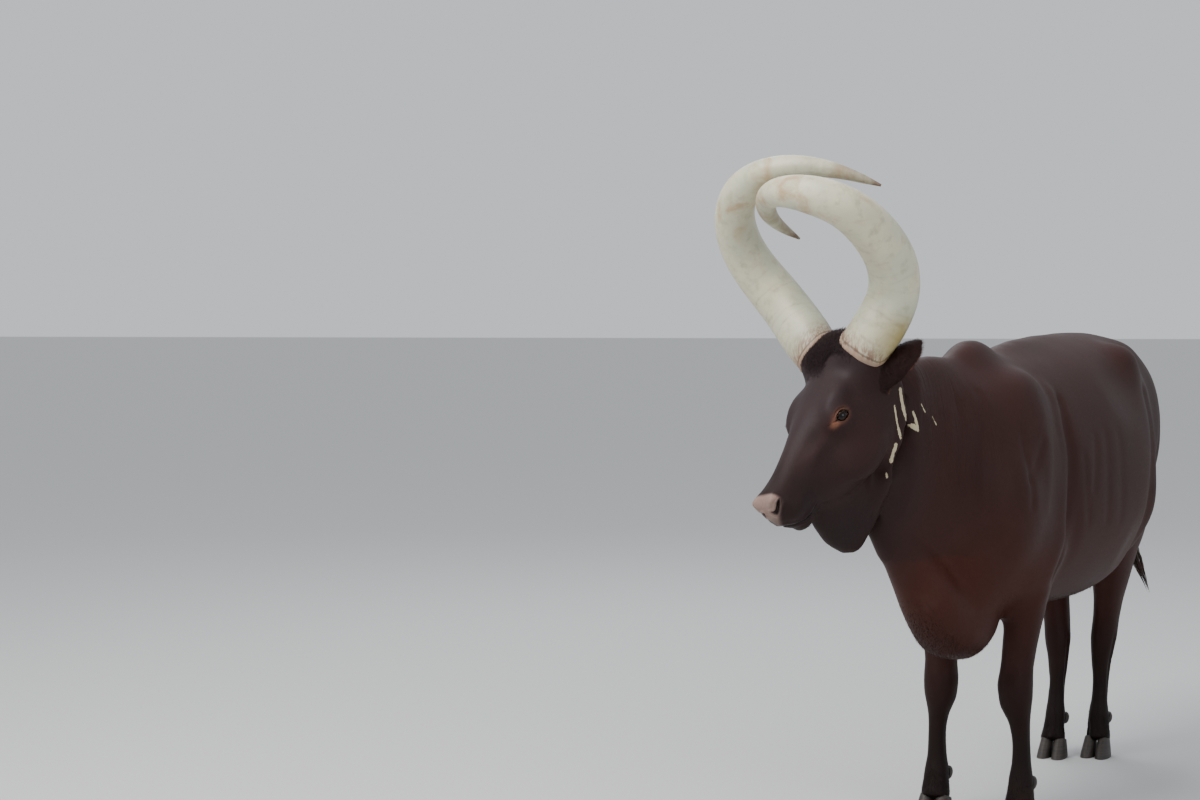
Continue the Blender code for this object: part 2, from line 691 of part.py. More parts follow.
def union(name, pieces, where):
    """One closed surface of all the pieces, by one Boolean union."""
    group = bpy.data.collections.new("joined_for_" + name)
    bpy.context.scene.collection.children.link(group)
    first = pieces[0]
    for piece in pieces[1:]:
        for old in list(piece.users_collection):
            old.objects.unlink(piece)
        group.objects.link(piece)
    join = first.modifiers.new("join", "BOOLEAN")
    join.operation = "UNION"
    join.solver = "EXACT"
    join.operand_type = "COLLECTION"
    join.collection = group
    apply_modifiers(first)
    for piece in pieces[1:]:
        bpy.data.objects.remove(piece)
    bpy.data.collections.remove(group)
    first.name = name
    return first


def slab(name, point, normal, where, size=4.0):
    """A block whose one face passes through point, behind it as seen along the normal."""
    normal = normal.normalized()
    turn = normal.to_track_quat("Z", "Y").to_matrix().to_4x4()
    mesh = bmesh.new()
    bmesh.ops.create_cube(mesh, size=size)
    mesh.transform(Matrix.Translation(point - normal * (size / 2)) @ turn)
    data = bpy.data.meshes.new(name)
    mesh.to_mesh(data)
    mesh.free()
    return add_object(name, data, where)


def block(name, low, high, where):
    """A box between two corners."""
    mesh = bmesh.new()
    bmesh.ops.create_cube(mesh, size=1.0)
    low, high = Vector(low), Vector(high)
    for vertex in mesh.verts:
        share = vertex.co + Vector((0.5, 0.5, 0.5))
        vertex.co = Vector((low[i] + (high[i] - low[i]) * share[i] for i in range(3)))
    data = bpy.data.meshes.new(name)
    mesh.to_mesh(data)
    mesh.free()
    return add_object(name, data, where)


def boolean(item, cutter, operation="DIFFERENCE"):
    cut = item.modifiers.new("cut", "BOOLEAN")
    cut.operation = operation
    cut.solver = "EXACT"
    cut.object = cutter
    return apply_modifiers(item)


def largest_part(item):
    """Keeps only the largest connected surface of a node."""
    mesh = bmesh.new()
    mesh.from_mesh(item.data)
    left = set(mesh.verts)
    groups = []
    while left:
        seed = left.pop()
        group = {seed}
        queue = [seed]
        while queue:
            for edge in queue.pop().link_edges:
                for vertex in edge.verts:
                    if vertex in left:
                        left.discard(vertex)
                        group.add(vertex)
                        queue.append(vertex)
        groups.append(group)
    groups.sort(key=len)
    bmesh.ops.delete(mesh, geom=[v for g in groups[:-1] for v in g], context="VERTS")
    bmesh.ops.triangulate(mesh, faces=mesh.faces)
    bmesh.ops.dissolve_degenerate(mesh, dist=0.00002, edges=mesh.edges)
    bmesh.ops.triangulate(mesh, faces=mesh.faces)
    mesh.to_mesh(item.data)
    mesh.free()
    return item


def grown(item, amount, where):
    """A copy whose surface lies further out by amount."""
    made = add_object(item.name + "_grown", item.data.copy(), where)
    mesh = made.data
    normals = [v.normal.copy() for v in mesh.vertices]
    for vertex, normal in zip(mesh.vertices, normals):
        vertex.co += normal * amount
    return made


def claw(name, x, y, inner, front, where):
    """One hoof claw on a flat sole, its top a plane that leans down to the heel."""
    length, width = CLAW_FRONT if front else CLAW_HIND
    rings = []
    levels = 4
    sides = 14
    top_front, top_heel = CORONET[0], CORONET[1]
    for i in range(levels):
        t = i / (levels - 1)
        ring = []
        for k in range(sides):
            c, sn = superellipse(2 * math.pi * (k + 0.5) / sides, 2.5)
            flare = 1.0 - 0.20 * t
            px = x + 0.5 * width * c * (1.0 - 0.08 * t) - inner * 0.003 * t
            py_unit = sn
            py = y + 0.006 + 0.5 * length * py_unit * flare + t * (0.019 - 0.011 * py_unit)
            share = (py - (y - 0.05)) / 0.11
            top = top_front + (top_heel - top_front) * share
            ring.append(Vector((px, py, top * t)))
        rings.append(ring)
    return lofted(name, rings, where)


def dewclaw(name, foot, direction, where):
    """One of the two small claws behind the fetlock."""
    x, y = FEET[foot]
    behind = 0.070 if foot.startswith("front") else 0.078
    centre = Vector((x + 0.021 * direction, y + behind, 0.112))
    return ball(name, centre, (0.0125, 0.0165, 0.0200), where, tilt(-35), 9)


def sphere(name, centre, radius, turn, where):
    mesh = bmesh.new()
    bmesh.ops.create_uvsphere(mesh, u_segments=16, v_segments=12, radius=radius)
    mesh.transform(Matrix.Translation(centre) @ turn.to_4x4())
    bmesh.ops.recalc_face_normals(mesh, faces=mesh.faces)
    data = bpy.data.meshes.new(name)
    mesh.to_mesh(data)
    mesh.free()
    return add_object(name, data, where)


def eye_axes(sign):
    """The way an eye looks, its long way towards the nose, and the way up its lids."""
    look = (SIDE * sign + FACE * 0.25 + OUT * 0.30).normalized()
    long = FACE * 0.93 + OUT * 0.30
    long = (long - look * long.dot(look)).normalized()
    return look, long, look.cross(long) * sign


def lid_opening(name, centre, sign, where):
    """An almond that widens outward from inside the eyeball."""
    look, long, high = eye_axes(sign)
    rings = []
    for reach, scale in ((0.006, 0.80), (0.040, 1.35)):
        ring = []
        for k in range(16):
            angle = 2 * math.pi * k / 16
            c, sn = math.cos(angle), math.sin(angle)
            ring.append(centre + look * reach + long * (LID_WIDTH * scale * c)
                        + high * (LID_HEIGHT * scale * math.copysign(abs(sn) ** 1.3, sn)))
        rings.append(ring)
    return lofted(name, rings, where)


def skin_tree(item):
    return BVHTree.FromPolygons([v.co.copy() for v in item.data.vertices],
                                [tuple(p.vertices) for p in item.data.polygons])


def on_skin(tree, start, way):
    """Where a line from inside the head comes out of it."""
    place = None
    origin = start
    for _ in range(4):
        hit = tree.ray_cast(origin, way, 0.5)
        if hit[0] is None:
            break
        place = hit[0]
        origin = hit[0] + way * 0.001
    return place


def carve_head(head, where):
    """Lids, eye sockets, nostrils and the line of the mouth."""
    for sign in (1, -1):
        centre = on_head(EYE_PLACE[0], EYE_PLACE[1], EYE_PLACE[2] * sign)
        lids = sphere("lids", centre, EYE_RADIUS + LID_THICKNESS, HEAD_MATRIX.to_3x3(), where)
        boolean(head, lids, "UNION")
        bpy.data.objects.remove(lids)
        socket = sphere("socket", centre, EYE_RADIUS + GAP, HEAD_MATRIX.to_3x3(), where)
        boolean(head, socket)
        bpy.data.objects.remove(socket)
        almond = lid_opening("almond", centre, sign, where)
        boolean(head, almond)
        bpy.data.objects.remove(almond)
    tree = skin_tree(head)
    inner = on_head(0.840, -0.250, 0)
    left = [Vector(place) for place in MOUTH]
    right = [Vector((along, out, -side)) for along, out, side in MOUTH[-2::-1]]
    line = []
    for place in spline_through(left + right, 15):
        line.append(on_skin(tree, inner, (on_head(*place) - inner).normalized()))
    ends = [0.0008, 0.0020]
    radii = ends + [0.0030] * 11 + ends[::-1]
    mouth = swept("mouth", eased(line, 1), radii, where, 6)
    boolean(head, mouth)
    bpy.data.objects.remove(mouth)
    for sign in (1, -1):
        places = []
        for along, out, side in NOSTRIL:
            start = on_head(0.860, out - 0.015, 0)
            aim = on_head(along, out, side * sign)
            places.append(on_skin(tree, start, (aim - start).normalized()))
        places = spline_through(places, 7)
        nostril = swept("nostril", places, [0.003, 0.0075, 0.0105, 0.0100, 0.0075, 0.0055, 0.0025], where, 8)
        boolean(head, nostril)
        bpy.data.objects.remove(nostril)
    return largest_part(head)


def main():
    remove_everything()
    forms = collection("forms")
    cow = collection("ankole_watusi_cow")
    body = fused("body", trunk_forms(forms), forms, 0.013, 60)
    swell(body, SWELLS)
    head = fused("head_mass", head_forms(forms), forms, 0.007, 9)
    pieces = [body, head, dewlap(forms), throat_fold(forms)]
    for side in ("left", "right"):
        pieces.append(foreleg(side, forms))
        pieces += hindleg(side, forms)
    flesh = fused("flesh", pieces, forms, 0.008, 8)

    coarse = thinned(flesh, "coarse", COARSE_TRIANGLES, forms)
    fine = thinned(flesh, "fine", FINE_TRIANGLES, forms)

    # The cuts: behind the head, in front of the shoulder, and round each leg
    half = GAP / 2
    head_cut = on_head(-0.180, -0.170, 0)
    head_way = Vector((-0.40, -0.91, 0.09)).normalized()
    neck_cut = Vector((0.0, -0.215, 1.250))
    neck_way = Vector((0.0, -0.982, 0.190))

    def part(name, source, cuts):
        made = add_object(name, source.data.copy(), cow)
        for cutter in cuts:
            boolean(made, cutter)
            bpy.data.objects.remove(cutter)
        return largest_part(made)

    part("head", fine, [slab("c", head_cut + head_way * half, head_way, forms)])
    part("neck", coarse, [slab("c", head_cut - head_way * half, -head_way, forms),
                          slab("c", neck_cut + neck_way * half, neck_way, forms)])
    torso = part("torso", coarse, [slab("c", neck_cut - neck_way * half, -neck_way, forms)])
    for name, (low, high) in LEG_BOXES.items():
        leg = add_object(name, coarse.data.copy(), cow)
        inner = block("c", Vector(low) + Vector((half, half, 0)), Vector(high) - Vector((half, half, half)),
                      forms)
        boolean(leg, inner, "INTERSECT")
        bpy.data.objects.remove(inner)
        place = FEET[name.replace("leg_", "")]
        lean_way = Vector((0.0, CORONET[0] - CORONET[1], 0.110)).normalized()
        level = Vector((place[0], place[1] - 0.05, CORONET[0]))
        under = slab("c", level + lean_way * GAP, lean_way, forms, 1.0)
        boolean(leg, under)
        bpy.data.objects.remove(under)
        largest_part(leg)
        outer = block("c", Vector(low) - Vector((half, half, 0)), Vector(high) + Vector((half, half, half)),
                      forms)
        boolean(torso, outer)
        bpy.data.objects.remove(outer)
    largest_part(torso)

    head = carve_head(bpy.data.objects["head"], forms)
    around_head = grown(head, GAP, forms)
    for side in ("left", "right"):
        sign = 1 if side == "left" else -1
        made = horn(side, cow)
        boolean(made, around_head)
        around_horn = grown(largest_part(made), GAP, forms)
        made = ear(side, cow)
        boolean(made, around_head)
        boolean(made, around_horn)
        largest_part(made)
        bpy.data.objects.remove(around_horn)
        place = on_head(EYE_PLACE[0], EYE_PLACE[1], EYE_PLACE[2] * sign)
        sphere(f"eye_{side}", place, EYE_RADIUS, HEAD_MATRIX.to_3x3(), cow)

    bpy.data.objects.remove(around_head)
    around_torso = grown(torso, GAP, forms)
    made = tail(cow)
    boolean(made, around_torso)
    largest_part(made)
    bpy.data.objects.remove(around_torso)
    switch(cow)
    for foot, (x, y) in FEET.items():
        front = foot.startswith("front")
        side_of = 1 if foot.endswith("left") else -1
        width = (CLAW_FRONT if front else CLAW_HIND)[1]
        for which, direction in (("outer", side_of), ("inner", -side_of)):
            claw(f"hoof_{foot}_{which}", x + direction * (width + CLAW_ROOM) / 2, y, direction, front, cow)
        around_leg = grown(bpy.data.objects[f"leg_{foot}"], GAP, forms)
        for which, direction in (("outer", side_of), ("inner", -side_of)):
            made = dewclaw(f"dewclaw_{foot}_{which}", foot, direction, cow)
            boolean(made, around_leg)
            largest_part(made)
        bpy.data.objects.remove(around_leg)
    for item in list(forms.objects):
        bpy.data.objects.remove(item)
    bpy.data.collections.remove(forms)
    settle(cow)
    for item in cow.objects:
        finish(item)


def settle(cow):
    """Moves everything so that the origin lies on the floor under the middle of the whole."""
    points = [v.co for item in cow.objects for v in item.data.vertices]
    low = Vector((min(p[i] for p in points) for i in range(3)))
    high = Vector((max(p[i] for p in points) for i in range(3)))
    shift = Vector((-(low.x + high.x) / 2, -(low.y + high.y) / 2, -low.z))
    for item in cow.objects:
        item.data.transform(Matrix.Translation(shift))


def look_of(name):
    if name.startswith("horn"):
        return "horn"
    if name.startswith("eye"):
        return "eye"
    if name.startswith(("hoof", "dewclaw")):
        return "hoof"
    return "switch" if name == "tail_switch" else "hide"


def finish(item):
    colour, roughness = LOOKS[look_of(item.name)]
    material = bpy.data.materials.new(item.name)
    material.use_nodes = True
    shader = material.node_tree.nodes["Principled BSDF"]
    shader.inputs["Base Color"].default_value = (*colour, 1.0)
    shader.inputs["Roughness"].default_value = roughness
    item.data.materials.clear()
    item.data.materials.append(material)
    item.data.shade_smooth()
    item.data.set_sharp_from_angle(angle=math.radians(40))


main()
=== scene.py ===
"""The looks of a standing ankole watusi cow: skin, coat, horns, eyes, hooves and tail tuft.

Metres, +Z up. The animal faces -Y and +X is its left.
"""
import json
import math

import bmesh
import bpy
import numpy as np
from bpy.props import FloatProperty, FloatVectorProperty, IntProperty, PointerProperty
from mathutils import Matrix, Vector
from mathutils.bvhtree import BVHTree

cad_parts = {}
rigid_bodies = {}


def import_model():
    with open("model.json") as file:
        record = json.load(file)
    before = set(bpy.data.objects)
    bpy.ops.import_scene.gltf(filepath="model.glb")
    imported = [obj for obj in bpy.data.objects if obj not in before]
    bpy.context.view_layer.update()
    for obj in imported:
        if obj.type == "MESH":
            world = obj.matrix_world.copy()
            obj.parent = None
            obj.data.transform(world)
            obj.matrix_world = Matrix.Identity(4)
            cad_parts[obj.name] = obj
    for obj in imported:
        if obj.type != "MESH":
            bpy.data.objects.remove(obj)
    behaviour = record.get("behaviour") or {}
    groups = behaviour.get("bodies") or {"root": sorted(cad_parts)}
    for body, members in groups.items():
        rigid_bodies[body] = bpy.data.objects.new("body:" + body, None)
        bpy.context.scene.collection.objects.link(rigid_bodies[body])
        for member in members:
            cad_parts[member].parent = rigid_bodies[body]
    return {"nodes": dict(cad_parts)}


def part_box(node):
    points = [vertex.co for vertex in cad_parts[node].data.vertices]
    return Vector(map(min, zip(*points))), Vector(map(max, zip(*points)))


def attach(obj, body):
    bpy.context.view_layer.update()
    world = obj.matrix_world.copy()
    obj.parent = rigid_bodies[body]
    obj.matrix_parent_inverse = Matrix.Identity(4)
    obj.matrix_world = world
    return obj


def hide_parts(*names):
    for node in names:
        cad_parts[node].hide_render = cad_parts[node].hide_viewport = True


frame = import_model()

bl_info = {
    "name": "Ankole Watusi Cow",
    "version": (1, 0, 0),
    "blender": (4, 5, 0),
    "location": "3D View > Sidebar > Cow",
    "description": "Skin, coat, horns, eyes, hooves and tail of a standing cow",
    "category": "Add Mesh",
}

SIDES = {"left": 1, "right": -1}
FEET = ("front_left", "front_right", "hind_left", "hind_right")
EARS = {"ear_left": 1, "ear_right": -1}
FLESH = ("head", "neck", "torso", "tail", *(f"leg_{foot}" for foot in FEET))


def claws_of(foot):
    """Middle of the box round the two claws of a foot."""
    boxes = [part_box(f"hoof_{foot}_{claw}") for claw in ("outer", "inner")]
    low = Vector([min(b[0][i] for b in boxes) for i in range(3)])
    high = Vector([max(b[1][i] for b in boxes) for i in range(3)])
    return (low + high) / 2


# The place on the floor between the fore feet: body places below are measured from it
FORE_CLAWS = claws_of("front_left")
ORIGIN = Vector((FORE_CLAWS.x - 0.120, FORE_CLAWS.y + 0.024, 0.0))

# How the head is carried
HEAD_LENGTH = 0.518
POLL = ORIGIN + Vector((-0.138, -0.637, 1.295))
HEAD_TURN = math.radians(17.4)
HEAD_PITCH = math.radians(45.9)
HEAD_ROLL = math.radians(15.0)

# Places on the head, in head lengths: along the face from the poll, out of the face, and to the side
EYE_PLACE = (0.415, -0.108, 0.151)
NOSE_PLACE = (0.93, -0.17, 0)
PLAIN_NOSTRIL = (
    (0.955, -0.150, 0.066), (0.948, -0.128, 0.078), (0.932, -0.105, 0.086), (0.910, -0.088, 0.088),
)
NOSTRIL = (
    (0.966, -0.126, 0.030), (0.962, -0.137, 0.045), (0.950, -0.125, 0.067), (0.932, -0.104, 0.083),
    (0.914, -0.094, 0.088),
)
# Share of a nostril's length and half its width there in metres
NOSTRIL_WIDTHS = ((0, 0.0062), (0.25, 0.0085), (0.6, 0.0066), (1, 0.0030))
# Along the face and out of it
MOUTH = (
    (0.778, -0.280), (0.830, -0.286), (0.880, -0.276), (0.925, -0.250), (0.960, -0.216), (0.970, -0.204),
)

# Eyes: the ball, the opening between the lids, and the lashes of one lid
EYE_RADIUS = 0.0190
LID_REACH = 0.0195
LID_UP, LID_DOWN = 0.0078, 0.0086
LASHES = 46

# Middle lines of the horns from the poll: forward, up, and outward from the middle of the head
HORN_LINES = {
    "left": (
        (0.045, -0.085, 0.034), (-0.059, 0.058, 0.139), (-0.025, 0.170, 0.176), (0.078, 0.234, 0.226),
        (0.180, 0.279, 0.250), (0.228, 0.326, 0.164), (0.214, 0.351, 0.039), (0.147, 0.317, -0.057),
        (0.030, 0.270, -0.082),
    ),
    "right": (
        (0.020, -0.070, 0.044), (0.007, 0.071, 0.155), (0.028, 0.161, 0.207), (0.080, 0.246, 0.231),
        (0.142, 0.328, 0.193), (0.174, 0.400, 0.113), (0.148, 0.426, 0.004), (0.076, 0.406, -0.100),
        (-0.024, 0.342, -0.176),
    ),
}
# Share of a horn's length and the radius there
HORN_TAPER = (
    (0.00, 0.004), (0.005, 0.018), (0.012, 0.030), (0.025, 0.043), (0.04, 0.052), (0.06, 0.059),
    (0.13, 0.0635), (0.30, 0.060), (0.45, 0.054), (0.60, 0.045), (0.75, 0.031), (0.88, 0.019),
    (0.96, 0.010), (1.00, 0.003),
)
# Where the growth rings start and end along a horn, in metres
RINGS_FROM, RINGS_TO = 0.10, 0.46

# The tail and its tuft, from the floor between the fore feet
TAIL_PATH = (
    (0.0, 1.255, 1.248), (0.0, 1.303, 1.160), (0.003, 1.303, 1.010), (0.014, 1.294, 0.880),
    (0.034, 1.284, 0.785), (0.050, 1.280, 0.740),
)
TAIL_RADII = (0.036, 0.0255, 0.0205, 0.0175, 0.0155, 0.0145)
SWITCH_PATH = (
    (0.050, 1.2805, 0.7350), (0.076, 1.282, 0.680), (0.110, 1.284, 0.600), (0.140, 1.280, 0.530),
    (0.164, 1.274, 0.470),
)

# Cream flecks behind the jaw and under the ear: middle line of each and its half width,
# measured from the floor between the fore feet
FLECKS = (
    (((-0.001, -0.613, 1.177), (0.004, -0.613, 1.146), (0.010, -0.600, 1.111), (0.018, -0.573, 1.085)),
     0.0085),
    (((0.000, -0.568, 1.086), (0.0105, -0.561, 1.087), (0.0175, -0.553, 1.080)), 0.0080),
    (((0.006, -0.559, 1.145), (0.010, -0.559, 1.129), (0.015, -0.555, 1.109), (0.018, -0.551, 1.093),
      (0.021, -0.548, 1.075)), 0.0048),
    (((-0.005, -0.640, 1.138), (-0.003, -0.630, 1.102), (-0.001, -0.611, 1.063), (0.000, -0.603, 1.043)),
     0.0055),
    (((-0.010, -0.616, 1.043), (-0.018, -0.613, 1.025), (-0.026, -0.610, 1.002)), 0.0070),
    (((-0.039, -0.609, 0.973), (-0.037, -0.609, 0.963)), 0.0055),
    (((0.000, -0.555, 1.047), (0.007, -0.550, 1.038)), 0.0034),
    (((0.022, -0.529, 1.138), (0.027, -0.519, 1.121)), 0.0038),
    (((0.032, -0.477, 1.107), (0.037, -0.461, 1.087)), 0.0030),
)

# Folds and ridges on each side of the body: (back, up) points, half width, height out of the skin
STROKES = (
    (((0.106, 1.149), (0.083, 1.070), (0.087, 0.990), (0.064, 0.900), (0.034, 0.812), (-0.014, 0.748),
      (-0.035, 0.687), (-0.018, 0.633)), 0.030, 0.0065),
    (((0.150, 1.130), (0.133, 1.060), (0.134, 0.980), (0.112, 0.890), (0.082, 0.802), (0.034, 0.735),
      (0.012, 0.680)), 0.020, -0.0085),
    (((-0.194, 1.059), (-0.199, 0.994), (-0.201, 0.940), (-0.208, 0.875)), 0.013, -0.0042),
    (((-0.114, 1.034), (-0.150, 0.981), (-0.201, 0.940)), 0.013, -0.0042),
    (((-0.020, 1.100), (-0.060, 0.980), (-0.100, 0.870)), 0.030, 0.0035),
    (((-0.351, 1.139), (-0.378, 0.990), (-0.356, 0.848)), 0.012, -0.0035),
    (((-0.430, 1.109), (-0.447, 0.972), (-0.402, 0.851)), 0.012, -0.0035),
    (((-0.395, 1.120), (-0.412, 0.980), (-0.380, 0.860)), 0.012, 0.0025),
    (((-0.512, 1.112), (-0.489, 0.963), (-0.460, 0.854)), 0.013, 0.0035),
    (((-0.271, 1.159), (-0.316, 0.987), (-0.313, 0.847)), 0.014, -0.0035),
    (((-0.478, 0.694), (-0.436, 0.626), (-0.393, 0.602)), 0.012, -0.0065),
    (((-0.419, 0.626), (-0.378, 0.567)), 0.011, -0.0060),
    (((-0.450, 0.670), (-0.405, 0.600), (-0.350, 0.570)), 0.012, 0.0040),
    (((-0.204, 0.628), (-0.112, 0.589), (-0.163, 0.555)), 0.012, -0.0060),
    (((0.199, 0.973), (0.200, 0.881), (0.214, 0.809)), 0.018, -0.0030),
    (((0.286, 1.016), (0.242, 0.889)), 0.018, -0.0026),
    (((0.360, 1.030), (0.335, 0.900), (0.340, 0.800)), 0.022, -0.0022),
    (((0.450, 1.030), (0.430, 0.900), (0.440, 0.800)), 0.024, -0.0018),
    (((0.835, 1.130), (0.760, 0.960), (0.725, 0.800), (0.745, 0.660)), 0.032, -0.0080),
    (((0.885, 1.140), (0.820, 0.960), (0.790, 0.800), (0.800, 0.690)), 0.030, 0.0045),
    (((1.060, 1.020), (1.010, 0.860), (0.985, 0.700)), 0.022, -0.0045),
)


# Places and curves

def head_axes():
    """Along the face to the muzzle, out of the face, and to the head's left."""
    forward = Vector((-math.sin(HEAD_TURN), -math.cos(HEAD_TURN), 0))
    left = Vector((math.cos(HEAD_TURN), -math.sin(HEAD_TURN), 0))
    up = Vector((0, 0, 1))
    face = forward * math.cos(HEAD_PITCH) - up * math.sin(HEAD_PITCH)
    out = forward * math.sin(HEAD_PITCH) + up * math.cos(HEAD_PITCH)
    side = left * math.cos(HEAD_ROLL) + out * math.sin(HEAD_ROLL)
    return face, out * math.cos(HEAD_ROLL) - left * math.sin(HEAD_ROLL), side


FACE, OUT, SIDE = head_axes()
AXES = np.array([FACE, OUT, SIDE])


def on_head(along, out, side):
    """A point given in head lengths along the face, out of it and to the left."""
    return POLL + (FACE * along + OUT * out + SIDE * side) * HEAD_LENGTH


def in_head(points):
    """The same points in head lengths."""
    return (points - np.array(POLL)) @ AXES.T / HEAD_LENGTH


def in_body(points):
    """The same points measured from the floor between the fore feet."""
    return points - np.array(ORIGIN)


def eye_middle(sign):
    return on_head(EYE_PLACE[0], EYE_PLACE[1], EYE_PLACE[2] * sign)


def eye_axes(sign):
    """The way an eye looks, its long way towards the nose, and the way up its lids."""
    look = (SIDE * sign + FACE * 0.25 + OUT * 0.30).normalized()
    long = FACE * 0.93 + OUT * 0.30
    long = (long - look * long.dot(look)).normalized()
    return look, long, long.cross(look) * sign


# The plane in which the finer skin of the head meets that of the neck
CUT_PLACE = on_head(-0.180, -0.170, 0.0)
CUT_WAY = Vector((-0.40, -0.91, 0.09)).normalized()


def spline_through(points, count):
    """Points along a smooth curve through the given ones, evenly spread by span."""
    points = [Vector(p) for p in points]
    knots = [points[0] * 2 - points[1], *points, points[-1] * 2 - points[-2]]
    spans = len(points) - 1
    made = []
    for i in range(count):
        place = i / (count - 1) * spans
        k = min(spans - 1, int(place))
        t = place - k
        a, b, c, d = knots[k:k + 4]
        made.append(0.5 * ((2 * b) + (c - a) * t + (2 * a - 5 * b + 4 * c - d) * t * t
                           + (3 * b - a - 3 * c + d) * t ** 3))
    return made


def horn_path(side):
    """Close points along the middle of a horn, its kinks evened out."""
    forward = FACE * math.cos(HEAD_PITCH) + OUT * math.sin(HEAD_PITCH)
    up = OUT * math.cos(HEAD_PITCH) - FACE * math.sin(HEAD_PITCH)
    knots = [POLL + forward * f + up * u + SIDE * (o * SIDES[side]) for f, u, o in HORN_LINES[side]]
    path = spline_through(knots, 30)
    for _ in range(6):
        path = [path[0], *((a + b * 2 + c) / 4 for a, b, c in zip(path, path[1:], path[2:])), path[-1]]
    return path


def flecks():
    """Each fleck as points along its middle line, and its half width."""
    return [(spline_through(line, 9 if len(line) > 2 else 4), half) for line, half in FLECKS]


def small_forms():
    """Where the eyes, the nose and the flecks are, as three lists of places."""
    return ([eye_middle(sign) for sign in SIDES.values()], [on_head(*NOSE_PLACE)],
            [ORIGIN + p for line, _ in flecks() for p in line])


def shortest(points, line):
    """How far each point lies from a line of close points."""
    best = np.full(len(points), 9.0)
    for a, b in zip(line, line[1:]):
        a, b = np.array(a), np.array(b)
        along = b - a
        t = np.clip((points - a) @ along / max(1e-12, along @ along), 0, 1)
        best = np.minimum(best, np.linalg.norm(points - a - t[:, None] * along, axis=1))
    return best


def away_from(points, spot):
    return np.linalg.norm(points - np.array(spot), axis=1)


def falloff(points, centre, reach):
    """1 at the centre, 0 beyond the reach, which may differ along each axis."""
    q = (((points - np.array(centre)) / np.array(reach)) ** 2).sum(1)
    return np.clip(1 - q, 0, 1) ** 2


def ramp(values, low, high):
    """A smooth step from 0 at low to 1 at high."""
    t = np.clip((values - low) / (high - low), 0, 1)
    return t * t * (3 - 2 * t)


def bell(values, width):
    """1 at 0, fading smoothly to both sides."""
    return np.exp(-(values / width) ** 2)


# Meshes

def link(name, mesh):
    made = bpy.data.objects.new(name, mesh)
    bpy.context.scene.collection.objects.link(made)
    return made


def plain_mesh(item):
    """The mesh that an object has with its modifiers. The object goes."""
    bpy.context.view_layer.update()
    graph = bpy.context.evaluated_depsgraph_get()
    mesh = bpy.data.meshes.new_from_object(item.evaluated_get(graph), preserve_all_data_layers=True,
                                           depsgraph=graph)
    bpy.data.objects.remove(item)
    return mesh


def modified(mesh, kind, **settings):
    """A mesh after one modifier."""
    item = link("modified", mesh)
    modifier = item.modifiers.new(kind, kind)
    for key, value in settings.items():
        setattr(modifier, key, value)
    return plain_mesh(item)


def mesh_from(work, name):
    mesh = bpy.data.meshes.new(name)
    work.to_mesh(mesh)
    work.free()
    return mesh


def joined(meshes, name="joined"):
    whole = bmesh.new()
    for mesh in meshes:
        whole.from_mesh(mesh)
    return mesh_from(whole, name)


def merged(names, swell=0.0, swollen=()):
    """One mesh of copies of several nodes, their loose triangles merged and some of them swollen."""
    parts = []
    for name in names:
        part = bmesh.new()
        part.from_mesh(frame["nodes"][name].data)
        bmesh.ops.remove_doubles(part, verts=part.verts, dist=0.000005)
        part.normal_update()
        if name in swollen:
            for vertex, normal in [(v, v.normal.copy()) for v in part.verts]:
                vertex.co += normal * swell
        parts.append(mesh_from(part, "part"))
    mesh = joined(parts)
    mesh.materials.clear()
    return mesh


def read(items, key, width=1, kind=float):
    """One value of every item, or one row of them."""
    values = np.zeros(len(items) * width, kind)
    items.foreach_get(key, values)
    return values.reshape(-1, width) if width > 1 else values


def places_of(mesh):
    return read(mesh.vertices, "co", 3)


def normals_of(mesh):
    return read(mesh.vertex_normals, "vector", 3)


def set_places(mesh, co):
    mesh.vertices.foreach_set("co", co.ravel())
    mesh.update()


def corners_of(mesh):
    return read(mesh.loops, "vertex_index", 1, np.int64)


def tree_of(mesh):
    return BVHTree.FromPolygons([v.co for v in mesh.vertices], [tuple(f.vertices) for f in mesh.polygons])


def relaxed(mesh, passes, weight=None):
    """Evens the surface out, by a weight from 0 to 1 for each vertex."""
    a, b = read(mesh.edges, "vertices", 2, np.int64).T
    count = len(mesh.vertices)
    degree = np.bincount(a, minlength=count) + np.bincount(b, minlength=count)
    co = places_of(mesh)
    share = 0.5 if weight is None else 0.5 * weight[:, None]
    for _ in range(passes):
        total = np.stack([np.bincount(a, co[b, k], count) + np.bincount(b, co[a, k], count)
                          for k in range(3)], 1)
        co = co + (total / degree[:, None] - co) * share
    set_places(mesh, co)


def store(mesh, name, values, kind="FLOAT", domain="POINT"):
    """Keeps values in a named attribute."""
    layer = mesh.attributes.new(name, kind, domain)
    key = {"FLOAT": "value", "FLOAT_COLOR": "color"}.get(kind, "vector")
    layer.data.foreach_set(key, np.ascontiguousarray(values, np.float32).ravel())


def piece(name, mesh, material=None, nodes=()):
    """A finished piece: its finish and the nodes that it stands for."""
    if material:
        mesh.materials.append(material)
    mesh.name = name
    mesh.shade_smooth()
    made = link(name, mesh)
    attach(made, "root")
    if nodes:
        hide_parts(*nodes)
    print(name, sum(len(p.vertices) - 2 for p in mesh.polygons), "triangles")


# Node trees

